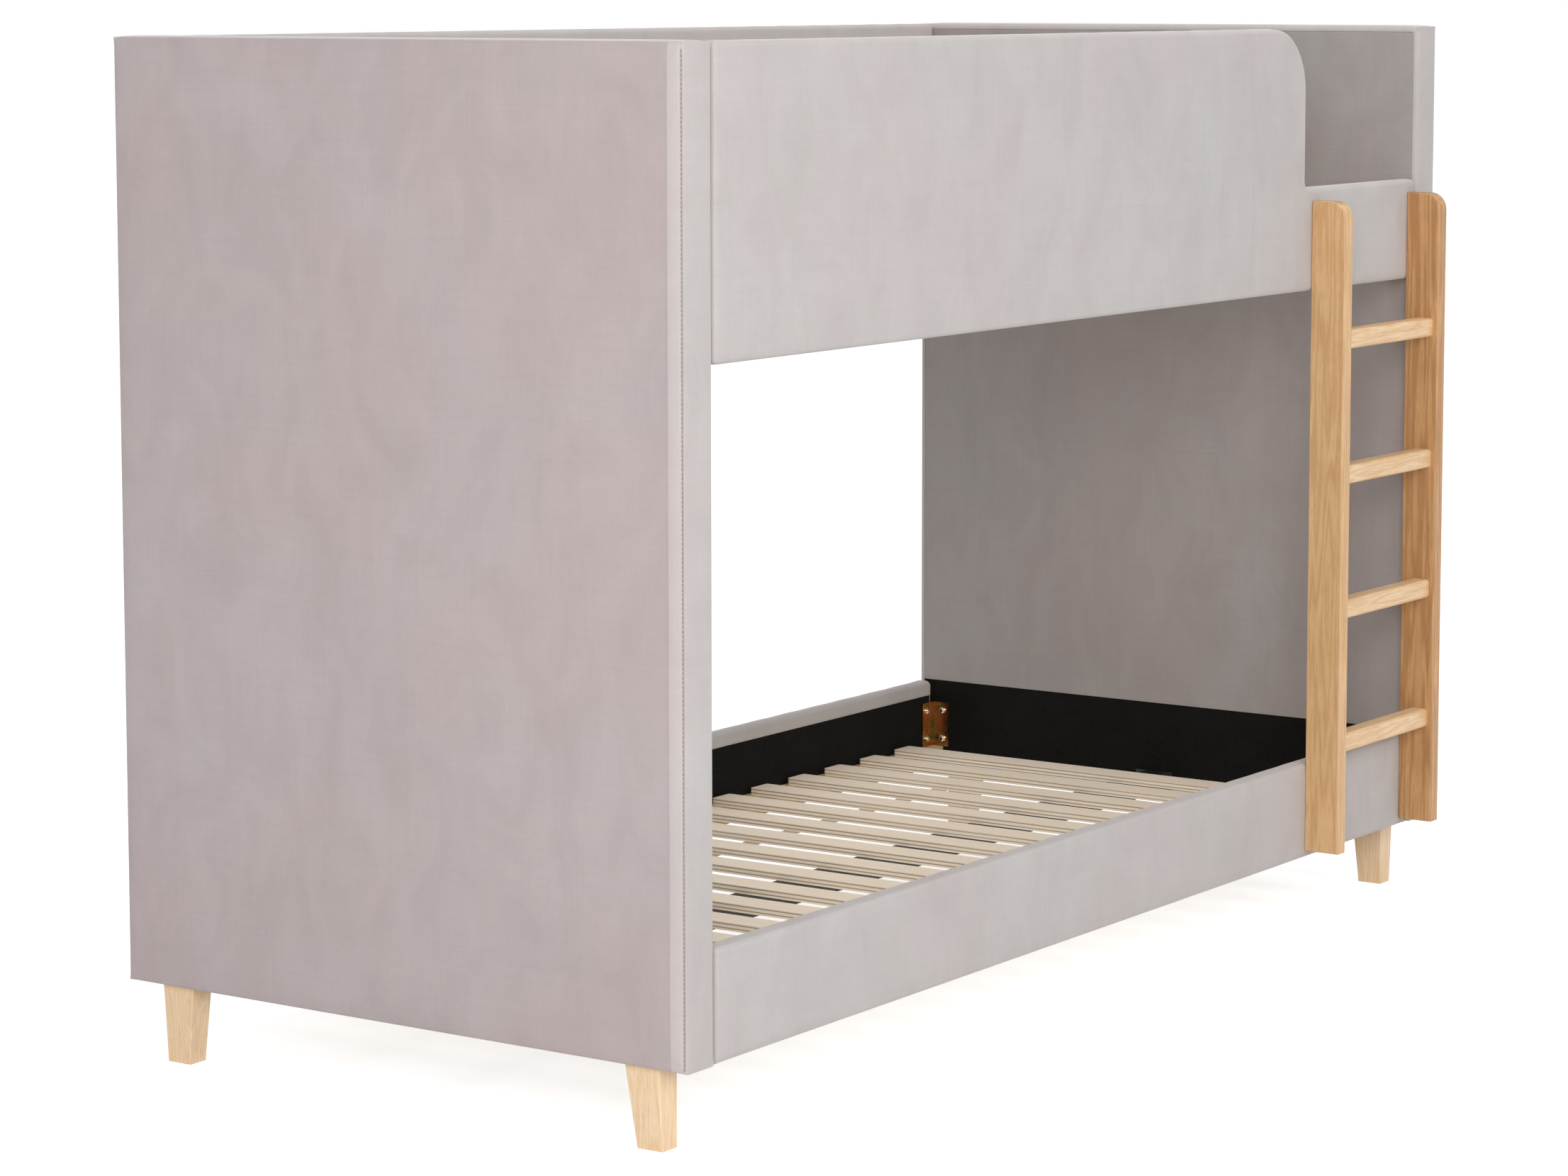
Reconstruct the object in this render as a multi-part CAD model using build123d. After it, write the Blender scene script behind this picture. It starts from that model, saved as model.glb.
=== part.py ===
"""Upholstered bunk bed: two padded end panels, padded rails and guards between them,
two slatted berths, a wooden ladder and four tapered wooden legs."""

from build123d import *
import os

os.makedirs("parts", exist_ok=True)

# Overall sizes, in mm
bed_length = 2150  # over both end panels
bed_width = 980  # over the outer faces of the rails
leg_height = 115
panel_height = 1340
panel_thickness = 65

# Rounding of the padded end panels
panel_corner_radius = 18  # the four corners of the panel's outline
panel_edge_radius = 14  # round the outer face
panel_inner_radius = 6  # round the inner face

# Padded rails and guards, heights counted from the bottom edge of the end panels
rail_thickness = 28
lower_rail_height = 157
upper_berth_height = 922  # underside of the upper rails
gate_rail_height = 165  # the low stretch of the front guard, where the ladder leads in
gate_width = 388
guard_corner_radius = 100
board_corner_radius = 10
roll_radius = 8  # soft rounding of the long edges
board_end_gap = 0.5  # between a rail's end and the end panel

# Coverings
panel_padding = 6  # velvet over foam on the outside of an end panel
rail_padding = 4  # velvet over foam on the outside of a rail
face_velvet = 2  # velvet over fleece on the inner faces
lining = 1  # black non-woven cloth
cover_lip = 10  # the panel cover turns this far onto the inner face
panel_lining_height = 158  # lower berth
upper_lining_height = 130  # upper berth, low enough to stay behind the gate rail
rail_lining_height = 130

# Timber inside an end panel
panel_board = 4
post_width = 60
cross_rail_height = 60

# Slatted base of each berth
ledger_thickness = 24
ledger_top = 38  # above the berth's underside
slat_count = 17
slat_width = 50
slat_thickness = 12
slat_end_clearance = 8  # from the slat's end to the lining on the rail
slat_end_radius = 4
slat_end_gap = 90  # from the end panel to the first slat
tape_width = 30
tape_thickness = 1
tape_offset = 216  # tape centre line from the middle of the bed
beam_width = 28
beam_wall = 1.5
beam_end_gap = 3
hanger_wall = 2
hanger_depth = 32  # how far the saddle reaches under the beam
hanger_flange = 20
hanger_screw_radius = 2.5
hanger_screw_reach = 30
fit_gap = 0.3

# Legs
leg_top_x = 42
leg_top_y = 56
leg_taper_x = 8  # the outer side leans in
leg_taper_y = 14  # the side that faces the bed's middle leans in
leg_inset_x = 12
leg_inset_y = 54
leg_edge_chamfer = 1.5
leg_bolt_radius = 4
leg_bolt_in_leg = 40
leg_bolt_in_panel = 36
insert_radius = 6
insert_length = 20

# Ladder
stile_width = 28
stile_depth = 60
stile_bottom = 12  # above the bottom edge of the end panels
stile_below_gate = 21  # the stile's top lies this far below the gate rail's top
stile_nose_radius = 28
stile_edge_radius = 2.5
ladder_width = 365
ladder_end_gap = 7
rung_count = 4
rung_height = 31
rung_depth = 32
rung_front_inset = 9
rung_edge_radius = 6
rung_pitch = 218.5
top_rung_drop = 207  # from the stile's top to the top of the first rung
tenon_length = 15
tenon_height = 20
tenon_depth = 20
ladder_bolt_radius = 4
ladder_bolt_in_stile = 35

# Corner brackets and their bolts
bracket_leaf = 36
bracket_height = 80
bracket_wall = 2.5
bracket_bend_radius = 3
bracket_hole_from_bend = 23
bracket_hole_pitch = 51
bracket_bolt_radius = 3
panel_bolt_reach = 38
rail_bolt_reach = 18
washer_thickness = 1.5
washer_rim = 3.5  # the washer's rim outside its bolt
washer_clearance = 2  # between a ladder bolt's washer and the edge of the black lining
head_rim = 2.5  # the bolt head's rim outside its shank
head_height = 4
head_chamfer = 1.8

# Planes worked out from the sizes above
half_length = bed_length / 2
half_width = bed_width / 2
inner_face_x = half_length - panel_thickness
inner_face_y = half_width - rail_thickness
board_end_x = inner_face_x - board_end_gap
panel_bottom = leg_height
panel_middle = panel_bottom + panel_height / 2
upper_base = panel_bottom + upper_berth_height
guard_height = panel_height - upper_berth_height
gate_top = upper_base + gate_rail_height
guard_end_x = inner_face_x - gate_width
core_inner_y = inner_face_y + face_velvet
core_outer_y = half_width - rail_padding
lining_x = inner_face_x + face_velvet - lining
lining_y = core_inner_y - lining
board_inner_x = inner_face_x + face_velvet
board_outer_x = half_length - panel_padding
frame_inner_x = board_inner_x + panel_board
frame_outer_x = board_outer_x - panel_board
post_outer_y = half_width - panel_padding
post_inner_y = post_outer_y - post_width
leg_x = half_length - leg_inset_x - leg_top_x / 2
leg_y = half_width - leg_inset_y - leg_top_y / 2
stile_top = gate_top - stile_below_gate
stile_front_y = half_width + stile_depth
ladder_far_x = inner_face_x - ladder_end_gap
ladder_near_x = ladder_far_x - ladder_width
ladder_bolt_rise = rail_lining_height + washer_clearance + ladder_bolt_radius + washer_rim
shift_y = stile_depth / 2  # puts the middle of the whole outline, ladder included, on the origin


def save(name, solids):
    """Write one node, moved so that the origin lies under the middle of the outline."""
    placed = [Pos(0, shift_y, 0) * solid for solid in solids]
    export_step(Compound(children=placed) if len(placed) > 1 else placed[0], f"parts/{name}.step")


def block(x0, x1, y0, y1, z0, z1):
    """Box between two corners."""
    return Pos((x0 + x1) / 2, (y0 + y1) / 2, (z0 + z1) / 2) * Box(x1 - x0, y1 - y0, z1 - z0)


def rod(start, direction, radius, length):
    """Round bar from a point along a direction."""
    return extrude(Plane(origin=start, z_dir=direction) * Circle(radius), length)


def flip_x(solid):
    return mirror(solid, about=Plane.YZ)


def flip_y(solid):
    return mirror(solid, about=Plane.XZ)


def both_sides(solids):
    """Solids and their mirror images across the bed."""
    return solids + [flip_y(solid) for solid in solids]


def four_corners(solid):
    """A solid and its three mirror images in the bed's corners."""
    return [solid, flip_x(solid), flip_y(solid), flip_y(flip_x(solid))]


def inset_radius(radius, inset):
    """Radius of an outline's corner after the outline is drawn in."""
    return max(radius - inset, fit_gap)


# End panels, drawn at the +X end


def panel_prism(inset, x0, x1):
    """Block with the panel's rounded outline, drawn in by inset, from x0 to x1."""
    radius = inset_radius(panel_corner_radius, inset)
    outline = RectangleRounded(bed_width - 2 * inset, panel_height - 2 * inset, radius)
    return extrude(Plane.YZ.offset(x0) * Pos(0, panel_middle) * outline, x1 - x0)


def leg_bolt_holes():
    """Clearance for the two leg bolts that enter a panel's underside."""
    hole = rod((leg_x, leg_y, panel_bottom - 1), (0, 0, 1), leg_bolt_radius + fit_gap, leg_bolt_in_panel + 2)
    return [hole, flip_y(hole)]


def insert_holes():
    """Seats of the threaded inserts in the bottom cross rail."""
    seat = rod((leg_x, leg_y, panel_bottom), (0, 0, 1), insert_radius, panel_padding + insert_length)
    return [seat, flip_y(seat)]


def inner_face_holes():
    """Holes through the panel's inner face, for the brackets' bolts and the saddles' screws."""
    return bracket_panel_holes() + hanger_screw_holes()


def panel_cover():
    """Padded velvet tray: the outer face, the four edges and a narrow lip on the inner face."""
    body = panel_prism(0, inner_face_x, half_length)
    faces = body.faces().sort_by(Axis.X)
    body = fillet(faces[-1].edges(), panel_edge_radius)
    body = fillet(body.faces().sort_by(Axis.X)[0].edges(), panel_inner_radius)
    core = panel_prism(panel_padding, board_inner_x, board_outer_x)
    face = panel_prism(cover_lip, inner_face_x - 1, board_inner_x)
    return body - core - face - leg_bolt_holes()


def panel_face(z0, z1):
    """Sheet on the panel's inner face inside the lip, between two heights."""
    sheet = panel_prism(cover_lip, inner_face_x, board_inner_x)
    return sheet & block(0, half_length, -half_width, half_width, z0, z1)


def panel_linings():
    """Black cloth strips on the inner face, one for each berth."""
    strips = []
    for base, height in ((panel_bottom, panel_lining_height), (upper_base, upper_lining_height)):
        strip = panel_face(base, base + height)
        strip = strip & block(lining_x, half_length, -half_width, half_width, base, base + height)
        strips.append(strip - inner_face_holes())
    return strips


def panel_boards():
    """Plywood skins on both sides of the timber frame."""
    inner = panel_prism(panel_padding, board_inner_x, frame_inner_x) - inner_face_holes()
    outer = panel_prism(panel_padding, frame_outer_x, board_outer_x)
    return inner, outer


def panel_posts():
    """Upright at each side of the frame, with the holes for the corner brackets' bolts."""
    outline = panel_prism(panel_padding, frame_inner_x, frame_outer_x)
    post = outline & block(0, half_length, post_inner_y, post_outer_y, panel_bottom, panel_bottom + panel_height)
    post = post - bracket_panel_holes()
    return [post, flip_y(post)]


def panel_cross_rails():
    """Rails between the posts: at both ends, at the upper berth and halfway below it."""
    bottom = panel_bottom + panel_padding
    berth = upper_base - cross_rail_height / 4
    top = panel_bottom + panel_height - panel_padding - cross_rail_height
    rails = []
    for z in (bottom, (bottom + berth) / 2, berth, top):
        rail = block(frame_inner_x, frame_outer_x, -post_inner_y, post_inner_y, z, z + cross_rail_height)
        rails.append(rail - hanger_screw_holes())
    rails[0] = rails[0] - leg_bolt_holes() - insert_holes()
    return rails


# Rails and guards, drawn at the front


def upright(face, y0, y1):
    """Extrude a face drawn in X and Z from y0 to y1."""
    return extrude(Plane.XZ.offset(-y1) * face, y1 - y0)


def board_outline(base, height, inset):
    """Plain board from one end panel to the other."""
    radius = inset_radius(board_corner_radius, inset)
    outline = RectangleRounded(2 * (board_end_x - inset), height - 2 * inset, radius)
    return Pos(0, base + height / 2) * outline


def lower_outline(inset):
    return board_outline(panel_bottom, lower_rail_height, inset)


def back_guard_outline(inset):
    return board_outline(upper_base, guard_height, inset)


def front_guard_outline(inset):
    """Stepped board: high along the mattress, low at the ladder, with one large round corner."""
    tall_x = guard_end_x - inset
    corners = [
        ((-board_end_x + inset, upper_base + inset), inset_radius(board_corner_radius, inset)),
        ((board_end_x - inset, upper_base + inset), inset_radius(board_corner_radius, inset)),
        ((board_end_x - inset, gate_top - inset), inset_radius(board_corner_radius, inset)),
        ((tall_x, gate_top - inset), board_corner_radius + inset),
        ((tall_x, upper_base + guard_height - inset), inset_radius(guard_corner_radius, inset)),
        ((-board_end_x + inset, upper_base + guard_height - inset), inset_radius(board_corner_radius, inset)),
    ]
    face = make_face(Polyline(*[point for point, radius in corners], close=True))
    for (x, z), radius in corners:
        corner = face.vertices().sort_by_distance((x, z, 0))[0]
        face = fillet(corner, radius)
    return face


def board_core(outline):
    """Timber board inside a padded rail or guard."""
    core = upright(outline(rail_padding), -core_outer_y, -core_inner_y)
    return core - bracket_rail_holes()


def lining_patch(base, y0, y1):
    """Strip of the inner face that carries the black cloth, drawn from y0 to y1."""
    end = board_end_x - rail_padding
    return block(-end, end, y0, y1, base + rail_padding, base + rail_lining_height)


def board_cover(outline, base):
    """Velvet round a board, with rolled long edges and a cut-out for the black lining inside."""
    body = upright(outline(0), -half_width, -inner_face_y)
    for end in (0, -1):
        body = fillet(body.faces().sort_by(Axis.Y)[end].edges(), roll_radius)
    core = upright(outline(rail_padding), -core_outer_y, -core_inner_y)
    return body - core - lining_patch(base, -core_inner_y, -inner_face_y + 1)


def board_lining(base):
    """Black cloth on the lower part of a board's inner face."""
    cloth = lining_patch(base, -core_inner_y, -lining_y)
    return cloth - bracket_rail_holes()


# Slatted bases


def berth_bases():
    """Undersides of the two berths."""
    return {"lower": panel_bottom, "upper": upper_base}


def ledger(base):
    """Strip that carries the slats' ends, drawn at the front."""
    bottom = base + rail_padding
    return block(-board_end_x, board_end_x, -lining_y, -lining_y + ledger_thickness, bottom, base + ledger_top)


def slat_positions():
    span = 2 * (inner_face_x - slat_end_gap - slat_width / 2)
    return [span * (i / (slat_count - 1) - 0.5) for i in range(slat_count)]


def slats(base):
    """Sprung slats across the bed, with eased ends."""
    length = 2 * (lining_y - slat_end_clearance)
    one = extrude(RectangleRounded(slat_width, length, slat_end_radius), slat_thickness)
    return [Pos(x, 0, base + ledger_top) * one for x in slat_positions()]


def slat_tapes(base):
    """Webbing under the slats that keeps them apart."""
    reach = slat_positions()[-1] + slat_width / 2
    top = base + ledger_top
    tape = block(-reach, reach, tape_offset - tape_width / 2, tape_offset + tape_width / 2, top - tape_thickness, top)
    return [tape, flip_y(tape)]


def beam_end():
    return inner_face_x - hanger_wall - beam_end_gap


def centre_beam(base):
    """Steel tube under the middle of the slats."""
    bottom = base + hanger_wall
    top = base + ledger_top
    end = beam_end()
    inner = beam_width / 2 - beam_wall
    tube = block(-end, end, -beam_width / 2, beam_width / 2, bottom, top)
    return tube - block(-end, end, -inner, inner, bottom + beam_wall, top - beam_wall)


def beam_hanger(base):
    """Saddle on the end panel that the beam lies in, at the +X end."""
    side = beam_width / 2 + fit_gap
    outer = side + hanger_wall
    back = inner_face_x - hanger_wall
    mouth = inner_face_x - hanger_depth
    top = base + ledger_top
    saddle = block(mouth, inner_face_x, -outer, outer, base, top)
    saddle = saddle - block(mouth, back, -side, side, base + hanger_wall, top)
    flange = block(back, inner_face_x, -outer - hanger_flange, outer + hanger_flange, base, top)
    return saddle + flange - hanger_screw_holes()


def hanger_screw_places():
    """Screw centres on both flanges of each berth's saddle at the +X end."""
    y = beam_width / 2 + fit_gap + hanger_wall + hanger_flange / 2
    z = ledger_top / 2
    x = inner_face_x - hanger_wall
    return [(x, side * y, base + z) for base in berth_bases().values() for side in (-1, 1)]


def hanger_screw_holes():
    radius = hanger_screw_radius + fit_gap
    reach = hanger_screw_reach + 2
    return [rod((x - 1, y, z), (1, 0, 0), radius, reach) for x, y, z in hanger_screw_places()]


def hanger_screws():
    """Screws at both ends of both beams."""
    screws = [bolt(place, (1, 0, 0), hanger_screw_radius, hanger_screw_reach) for place in hanger_screw_places()]
    return screws + [flip_x(screw) for screw in screws]


# Corner brackets and bolts


def bracket(base):
    """Steel angle between a rail and an end panel, in the +X, +Y corner."""
    outer = block(lining_x - bracket_leaf, lining_x, lining_y - bracket_leaf, lining_y, 0, bracket_height)
    hollow = block(0, lining_x - bracket_wall, 0, lining_y - bracket_wall, 0, bracket_height)
    bend = outer.edges().filter_by(Axis.Z).sort_by_distance((lining_x, lining_y, 0))[0]
    angle = fillet(bend, bracket_bend_radius) - hollow
    angle = Pos(0, 0, base + ledger_top) * angle
    return angle - bracket_panel_holes() - bracket_rail_holes()


def bracket_hole_heights():
    middle = ledger_top + bracket_height / 2
    return [
        base + middle + side * bracket_hole_pitch / 2 for base in berth_bases().values() for side in (-1, 1)
    ]


def bracket_panel_holes():
    """Bolt holes along X in the +X panel, at both sides of the bed."""
    y = lining_y - bracket_hole_from_bend
    radius = bracket_bolt_radius + fit_gap
    start = lining_x - bracket_wall - 1
    holes = [rod((start, y, z), (1, 0, 0), radius, panel_bolt_reach + 2) for z in bracket_hole_heights()]
    return both_sides(holes)


def bracket_rail_holes():
    """Bolt holes along Y in the rails, at all four corners."""
    x = lining_x - bracket_hole_from_bend
    radius = bracket_bolt_radius + fit_gap
    start = lining_y - bracket_wall - 1
    holes = [rod((x, start, z), (0, 1, 0), radius, rail_bolt_reach + 2) for z in bracket_hole_heights()]
    holes = holes + [flip_x(hole) for hole in holes]
    return both_sides(holes)


def bolt(start, direction, radius, reach):
    """Bolt with a chamfered pan head: the head lies behind the start point, the shank ahead of it."""
    head = extrude(Circle(radius + head_rim), -head_height)
    head = chamfer(head.edges().sort_by(Axis.Z)[0], head_chamfer)
    return Plane(origin=start, z_dir=direction) * (head + extrude(Circle(radius), reach))


def washer(start, direction, radius):
    """Washer in front of the start point."""
    ring = Circle(radius + washer_rim) - Circle(radius + fit_gap)
    return Plane(origin=start, z_dir=direction) * extrude(ring, washer_thickness)


def panel_bolts_and_washers():
    y = lining_y - bracket_hole_from_bend
    x = lining_x - bracket_wall - washer_thickness
    bolts = []
    washers = []
    for z in bracket_hole_heights():
        bolts += four_corners(bolt((x, y, z), (1, 0, 0), bracket_bolt_radius, panel_bolt_reach))
        washers += four_corners(washer((x, y, z), (1, 0, 0), bracket_bolt_radius))
    return bolts, washers


def rail_bolts_and_washers():
    x = lining_x - bracket_hole_from_bend
    y = lining_y - bracket_wall - washer_thickness
    bolts = []
    washers = []
    for z in bracket_hole_heights():
        bolts += four_corners(bolt((x, y, z), (0, 1, 0), bracket_bolt_radius, rail_bolt_reach))
        washers += four_corners(washer((x, y, z), (0, 1, 0), bracket_bolt_radius))
    return bolts, washers


# Legs, drawn in the +X, +Y corner


def leg():
    """Tapered block: two sides are upright, the outer and the inner one lean in."""
    top = Pos(leg_x, leg_y, panel_bottom) * Rectangle(leg_top_x, leg_top_y)
    foot_x = leg_x - leg_taper_x / 2
    foot_y = leg_y + leg_taper_y / 2
    foot = Pos(foot_x, foot_y, 0) * Rectangle(leg_top_x - leg_taper_x, leg_top_y - leg_taper_y)
    body = loft([foot, top], ruled=True)
    sides = [edge for edge in body.edges() if edge.length > 0.9 * leg_height]
    body = chamfer(sides, leg_edge_chamfer)
    bore = rod((leg_x, leg_y, panel_bottom), (0, 0, -1), leg_bolt_radius + fit_gap, leg_bolt_in_leg)
    return body - bore


def leg_bolt():
    """Headless bolt that joins the leg to the insert in the panel."""
    length = leg_bolt_in_leg + leg_bolt_in_panel
    return rod((leg_x, leg_y, panel_bottom - leg_bolt_in_leg), (0, 0, 1), leg_bolt_radius, length)


def leg_insert():
    """Threaded sleeve in the panel's bottom cross rail."""
    start = (leg_x, leg_y, panel_bottom + panel_padding)
    ring = Circle(insert_radius) - Circle(leg_bolt_radius + fit_gap)
    return Plane(origin=start, z_dir=(0, 0, 1)) * extrude(ring, insert_length)


# Ladder, on the front at the +X end


def stile_outline():
    """Side view of a stile in Y and Z: square at the foot, a round nose at the top."""
    height = stile_top - panel_bottom - stile_bottom
    middle_z = panel_bottom + stile_bottom + height / 2
    face = Pos(-half_width - stile_depth / 2, middle_z) * Rectangle(stile_depth, height)
    nose = face.vertices().sort_by_distance((-stile_front_y, stile_top, 0))[0]
    return fillet(nose, stile_nose_radius)


def stile(x0):
    """Stile with its eased edges, mortises and bolt holes."""
    body = extrude(Plane.YZ.offset(x0) * stile_outline(), stile_width)
    faces = body.faces().sort_by(Axis.X)
    body = fillet(faces[0].edges() + faces[-1].edges(), stile_edge_radius)
    return body - [rung_tenons(i, fit_gap) for i in range(rung_count)] - ladder_bolt_holes()


def rung_middle(index):
    """Centre of a rung in Y and Z, counted from the top."""
    y = -stile_front_y + rung_front_inset + rung_depth / 2
    z = stile_top - top_rung_drop - rung_height / 2 - index * rung_pitch
    return y, z


def rung_tenons(index, gap):
    """Tenons at both ends of a rung, as one bar, with a gap all round for the mortises."""
    y, z = rung_middle(index)
    reach = ladder_width / 2 - stile_width + tenon_length + gap
    middle_x = (ladder_near_x + ladder_far_x) / 2
    return Pos(middle_x, y, z) * Box(2 * reach, tenon_depth + 2 * gap, tenon_height + 2 * gap)


def rung(index):
    """Rung with softly rounded edges between the stiles and a tenon at each end."""
    y, z = rung_middle(index)
    section = RectangleRounded(rung_depth, rung_height, rung_edge_radius)
    start = ladder_near_x + stile_width
    length = ladder_width - 2 * stile_width
    return extrude(Plane.YZ.offset(start) * Pos(y, z) * section, length) + rung_tenons(index, 0)


def ladder_bolt_places():
    """Bolt centres in X and Z: each stile is held to both front rails, above the black linings."""
    xs = (ladder_near_x + stile_width / 2, ladder_far_x - stile_width / 2)
    return [(x, base + ladder_bolt_rise) for x in xs for base in berth_bases().values()]


def ladder_bolt_start():
    """Underside of the bolt heads, on the washers inside the rails."""
    return -inner_face_y + washer_thickness


def ladder_bolt_reach():
    return half_width + ladder_bolt_in_stile + ladder_bolt_start()


def ladder_bolt_holes():
    radius = ladder_bolt_radius + fit_gap
    start = ladder_bolt_start() + 1
    return [rod((x, start, z), (0, -1, 0), radius, ladder_bolt_reach() + 2) for x, z in ladder_bolt_places()]


def ladder_bolts():
    start = ladder_bolt_start()
    reach = ladder_bolt_reach()
    return [bolt((x, start, z), (0, -1, 0), ladder_bolt_radius, reach) for x, z in ladder_bolt_places()]


def ladder_washers():
    start = ladder_bolt_start()
    return [washer((x, start, z), (0, -1, 0), ladder_bolt_radius) for x, z in ladder_bolt_places()]


def save_panels():
    top = panel_bottom + panel_height
    lower = panel_face(panel_bottom + panel_lining_height, upper_base)
    upper = panel_face(upper_base + upper_lining_height, top)
    inner_board, outer_board = panel_boards()
    pieces = {
        "panel_cover": [panel_cover()],
        "panel_lower_face": [lower],
        "panel_upper_face": [upper],
        "panel_linings": panel_linings(),
        "panel_inner_board": [inner_board],
        "panel_outer_board": [outer_board],
        "panel_posts": panel_posts(),
        "panel_cross_rails": panel_cross_rails(),
    }
    for name, solids in pieces.items():
        save(f"far_{name}", solids)
        save(f"near_{name}", [flip_x(solid) for solid in solids])


def save_boards():
    boards = {
        "lower_front_rail": (lower_outline, panel_bottom, False),
        "lower_back_rail": (lower_outline, panel_bottom, True),
        "upper_front_guard": (front_guard_outline, upper_base, False),
        "upper_back_guard": (back_guard_outline, upper_base, True),
    }
    for name, (outline, base, at_back) in boards.items():
        pieces = {"core": board_core(outline), "cover": board_cover(outline, base), "lining": board_lining(base)}
        for kind, solid in pieces.items():
            save(f"{name}_{kind}", [flip_y(solid) if at_back else solid - ladder_bolt_holes()])


def save_bases():
    for berth, base in berth_bases().items():
        save(f"{berth}_front_ledger", [ledger(base)])
        save(f"{berth}_back_ledger", [flip_y(ledger(base))])
        save(f"{berth}_slats", slats(base))
        save(f"{berth}_slat_tapes", slat_tapes(base))
        save(f"{berth}_centre_beam", [centre_beam(base)])
    hangers = [beam_hanger(base) for base in berth_bases().values()]
    save("beam_hangers", hangers + [flip_x(hanger) for hanger in hangers])


def save_fasteners():
    save("corner_brackets", [item for base in berth_bases().values() for item in four_corners(bracket(base))])
    panel_bolts, panel_washers = panel_bolts_and_washers()
    rail_bolts, rail_washers = rail_bolts_and_washers()
    save("panel_bolts", panel_bolts)
    save("rail_bolts", rail_bolts)
    save("bracket_washers", panel_washers + rail_washers)
    save("hanger_screws", hanger_screws())
    save("leg_bolts", four_corners(leg_bolt()))
    save("leg_inserts", four_corners(leg_insert()))
    save("ladder_bolts", ladder_bolts())
    save("ladder_washers", ladder_washers())


def save_legs():
    for name, solid in zip(("far_back", "near_back", "far_front", "near_front"), four_corners(leg())):
        save(f"{name}_leg", [solid])


def save_ladder():
    save("ladder_near_stile", [stile(ladder_near_x)])
    save("ladder_far_stile", [stile(ladder_far_x - stile_width)])
    for index in range(rung_count):
        save(f"ladder_rung_{index + 1}", [rung(index)])


save_panels()
save_boards()
save_bases()
save_legs()
save_ladder()
save_fasteners()
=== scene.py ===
# %% [markdown]
# # An upholstered bunk bed
#
# Two tall end panels, two long rails and two guards are boards wrapped in velvet. Slats carry the mattresses, a
# wooden ladder leads to the upper berth, and four short tapered legs carry everything.
# The CAD model gives every size. This file dresses it: the cloth pieces are made anew, and the wooden and steel
# pieces keep their CAD shape and get a finish.

# %% Load the frame
import math

import bpy
import numpy as np
from mathutils import Matrix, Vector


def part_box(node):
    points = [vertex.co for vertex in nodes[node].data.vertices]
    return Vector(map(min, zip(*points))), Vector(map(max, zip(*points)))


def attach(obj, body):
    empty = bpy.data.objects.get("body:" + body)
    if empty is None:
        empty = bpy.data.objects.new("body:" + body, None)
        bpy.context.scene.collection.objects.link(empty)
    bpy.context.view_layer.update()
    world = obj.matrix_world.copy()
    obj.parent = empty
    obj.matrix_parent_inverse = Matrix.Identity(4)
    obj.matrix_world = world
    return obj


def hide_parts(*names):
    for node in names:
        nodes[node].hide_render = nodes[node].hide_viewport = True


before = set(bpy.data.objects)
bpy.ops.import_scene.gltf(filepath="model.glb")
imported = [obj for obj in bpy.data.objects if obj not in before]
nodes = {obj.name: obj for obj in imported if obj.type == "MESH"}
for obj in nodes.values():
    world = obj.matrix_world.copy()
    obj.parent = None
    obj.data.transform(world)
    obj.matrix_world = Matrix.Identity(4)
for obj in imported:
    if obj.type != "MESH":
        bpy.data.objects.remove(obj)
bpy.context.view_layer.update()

mm = 0.001
render_levels = 1


def box_mm(node):
    """Lowest and highest corner of a CAD node's box, in millimetres."""
    return [np.array(corner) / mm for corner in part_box(node)]


# %% [markdown]
# ## The camera
#
# The photograph looks along the bed from its near end, a little from above. A camera is a place, a heading, a tilt
# and a focal length. These were fitted to the long straight edges of the bed. A product photographer shifts the lens
# downwards to keep uprights upright, so a small part of that shift is kept.

# %% Camera
camera_place = (-5.5780, -3.7083, 1.5300)
heading, tilt, roll = math.radians(55.509), math.radians(6.297), math.radians(-0.059)
focal_share = 6153.9 / 2212  # focal length as a share of the picture's width
lens_shift = -0.08  # downwards, as a share of the picture's width
sensor_width = 36  # mm

forward = np.array([math.sin(heading) * math.cos(tilt), math.cos(heading) * math.cos(tilt), -math.sin(tilt)])
level_right = np.array([math.cos(heading), -math.sin(heading), 0.0])
level_up = np.cross(level_right, forward)
camera_axes = np.eye(4)
camera_axes[:3, 0] = math.cos(roll) * level_right + math.sin(roll) * level_up
camera_axes[:3, 1] = math.cos(roll) * level_up - math.sin(roll) * level_right
camera_axes[:3, 2] = -forward
camera_axes[:3, 3] = camera_place

camera_data = bpy.data.cameras.new("camera")
camera_data.sensor_width = sensor_width
camera_data.lens = sensor_width * focal_share
camera_data.shift_y = lens_shift
camera_data.clip_end = 100
camera = bpy.data.objects.new("camera", camera_data)
bpy.context.scene.collection.objects.link(camera)
camera.matrix_world = Matrix(camera_axes.tolist())
bpy.context.scene.camera = camera
print("focal length in mm:", round(camera_data.lens, 1))

# %% [markdown]
# ## One helper for nodes
#
# A material is a small graph. One function adds a node, sets its values and links its inputs. Two more say what a
# finish is made of: a noise pattern that sits on the object, and tints laid over a base colour. Colours are written
# as sRGB hex values, as a paint chart gives them, and are turned to the linear values that the renderer works in.

# %% Node and colour helpers


def linear(hex_colour):
    """sRGB hex to linear RGBA: below 0.04045 divide by 12.92, above it ((c + 0.055) / 1.055) to the power 2.4."""
    srgb = np.array([int(hex_colour[i:i + 2], 16) / 255 for i in (1, 3, 5)])
    rgb = np.where(srgb <= 0.04045, srgb / 12.92, ((srgb + 0.055) / 1.055) ** 2.4)
    return (*rgb.tolist(), 1.0)


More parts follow.
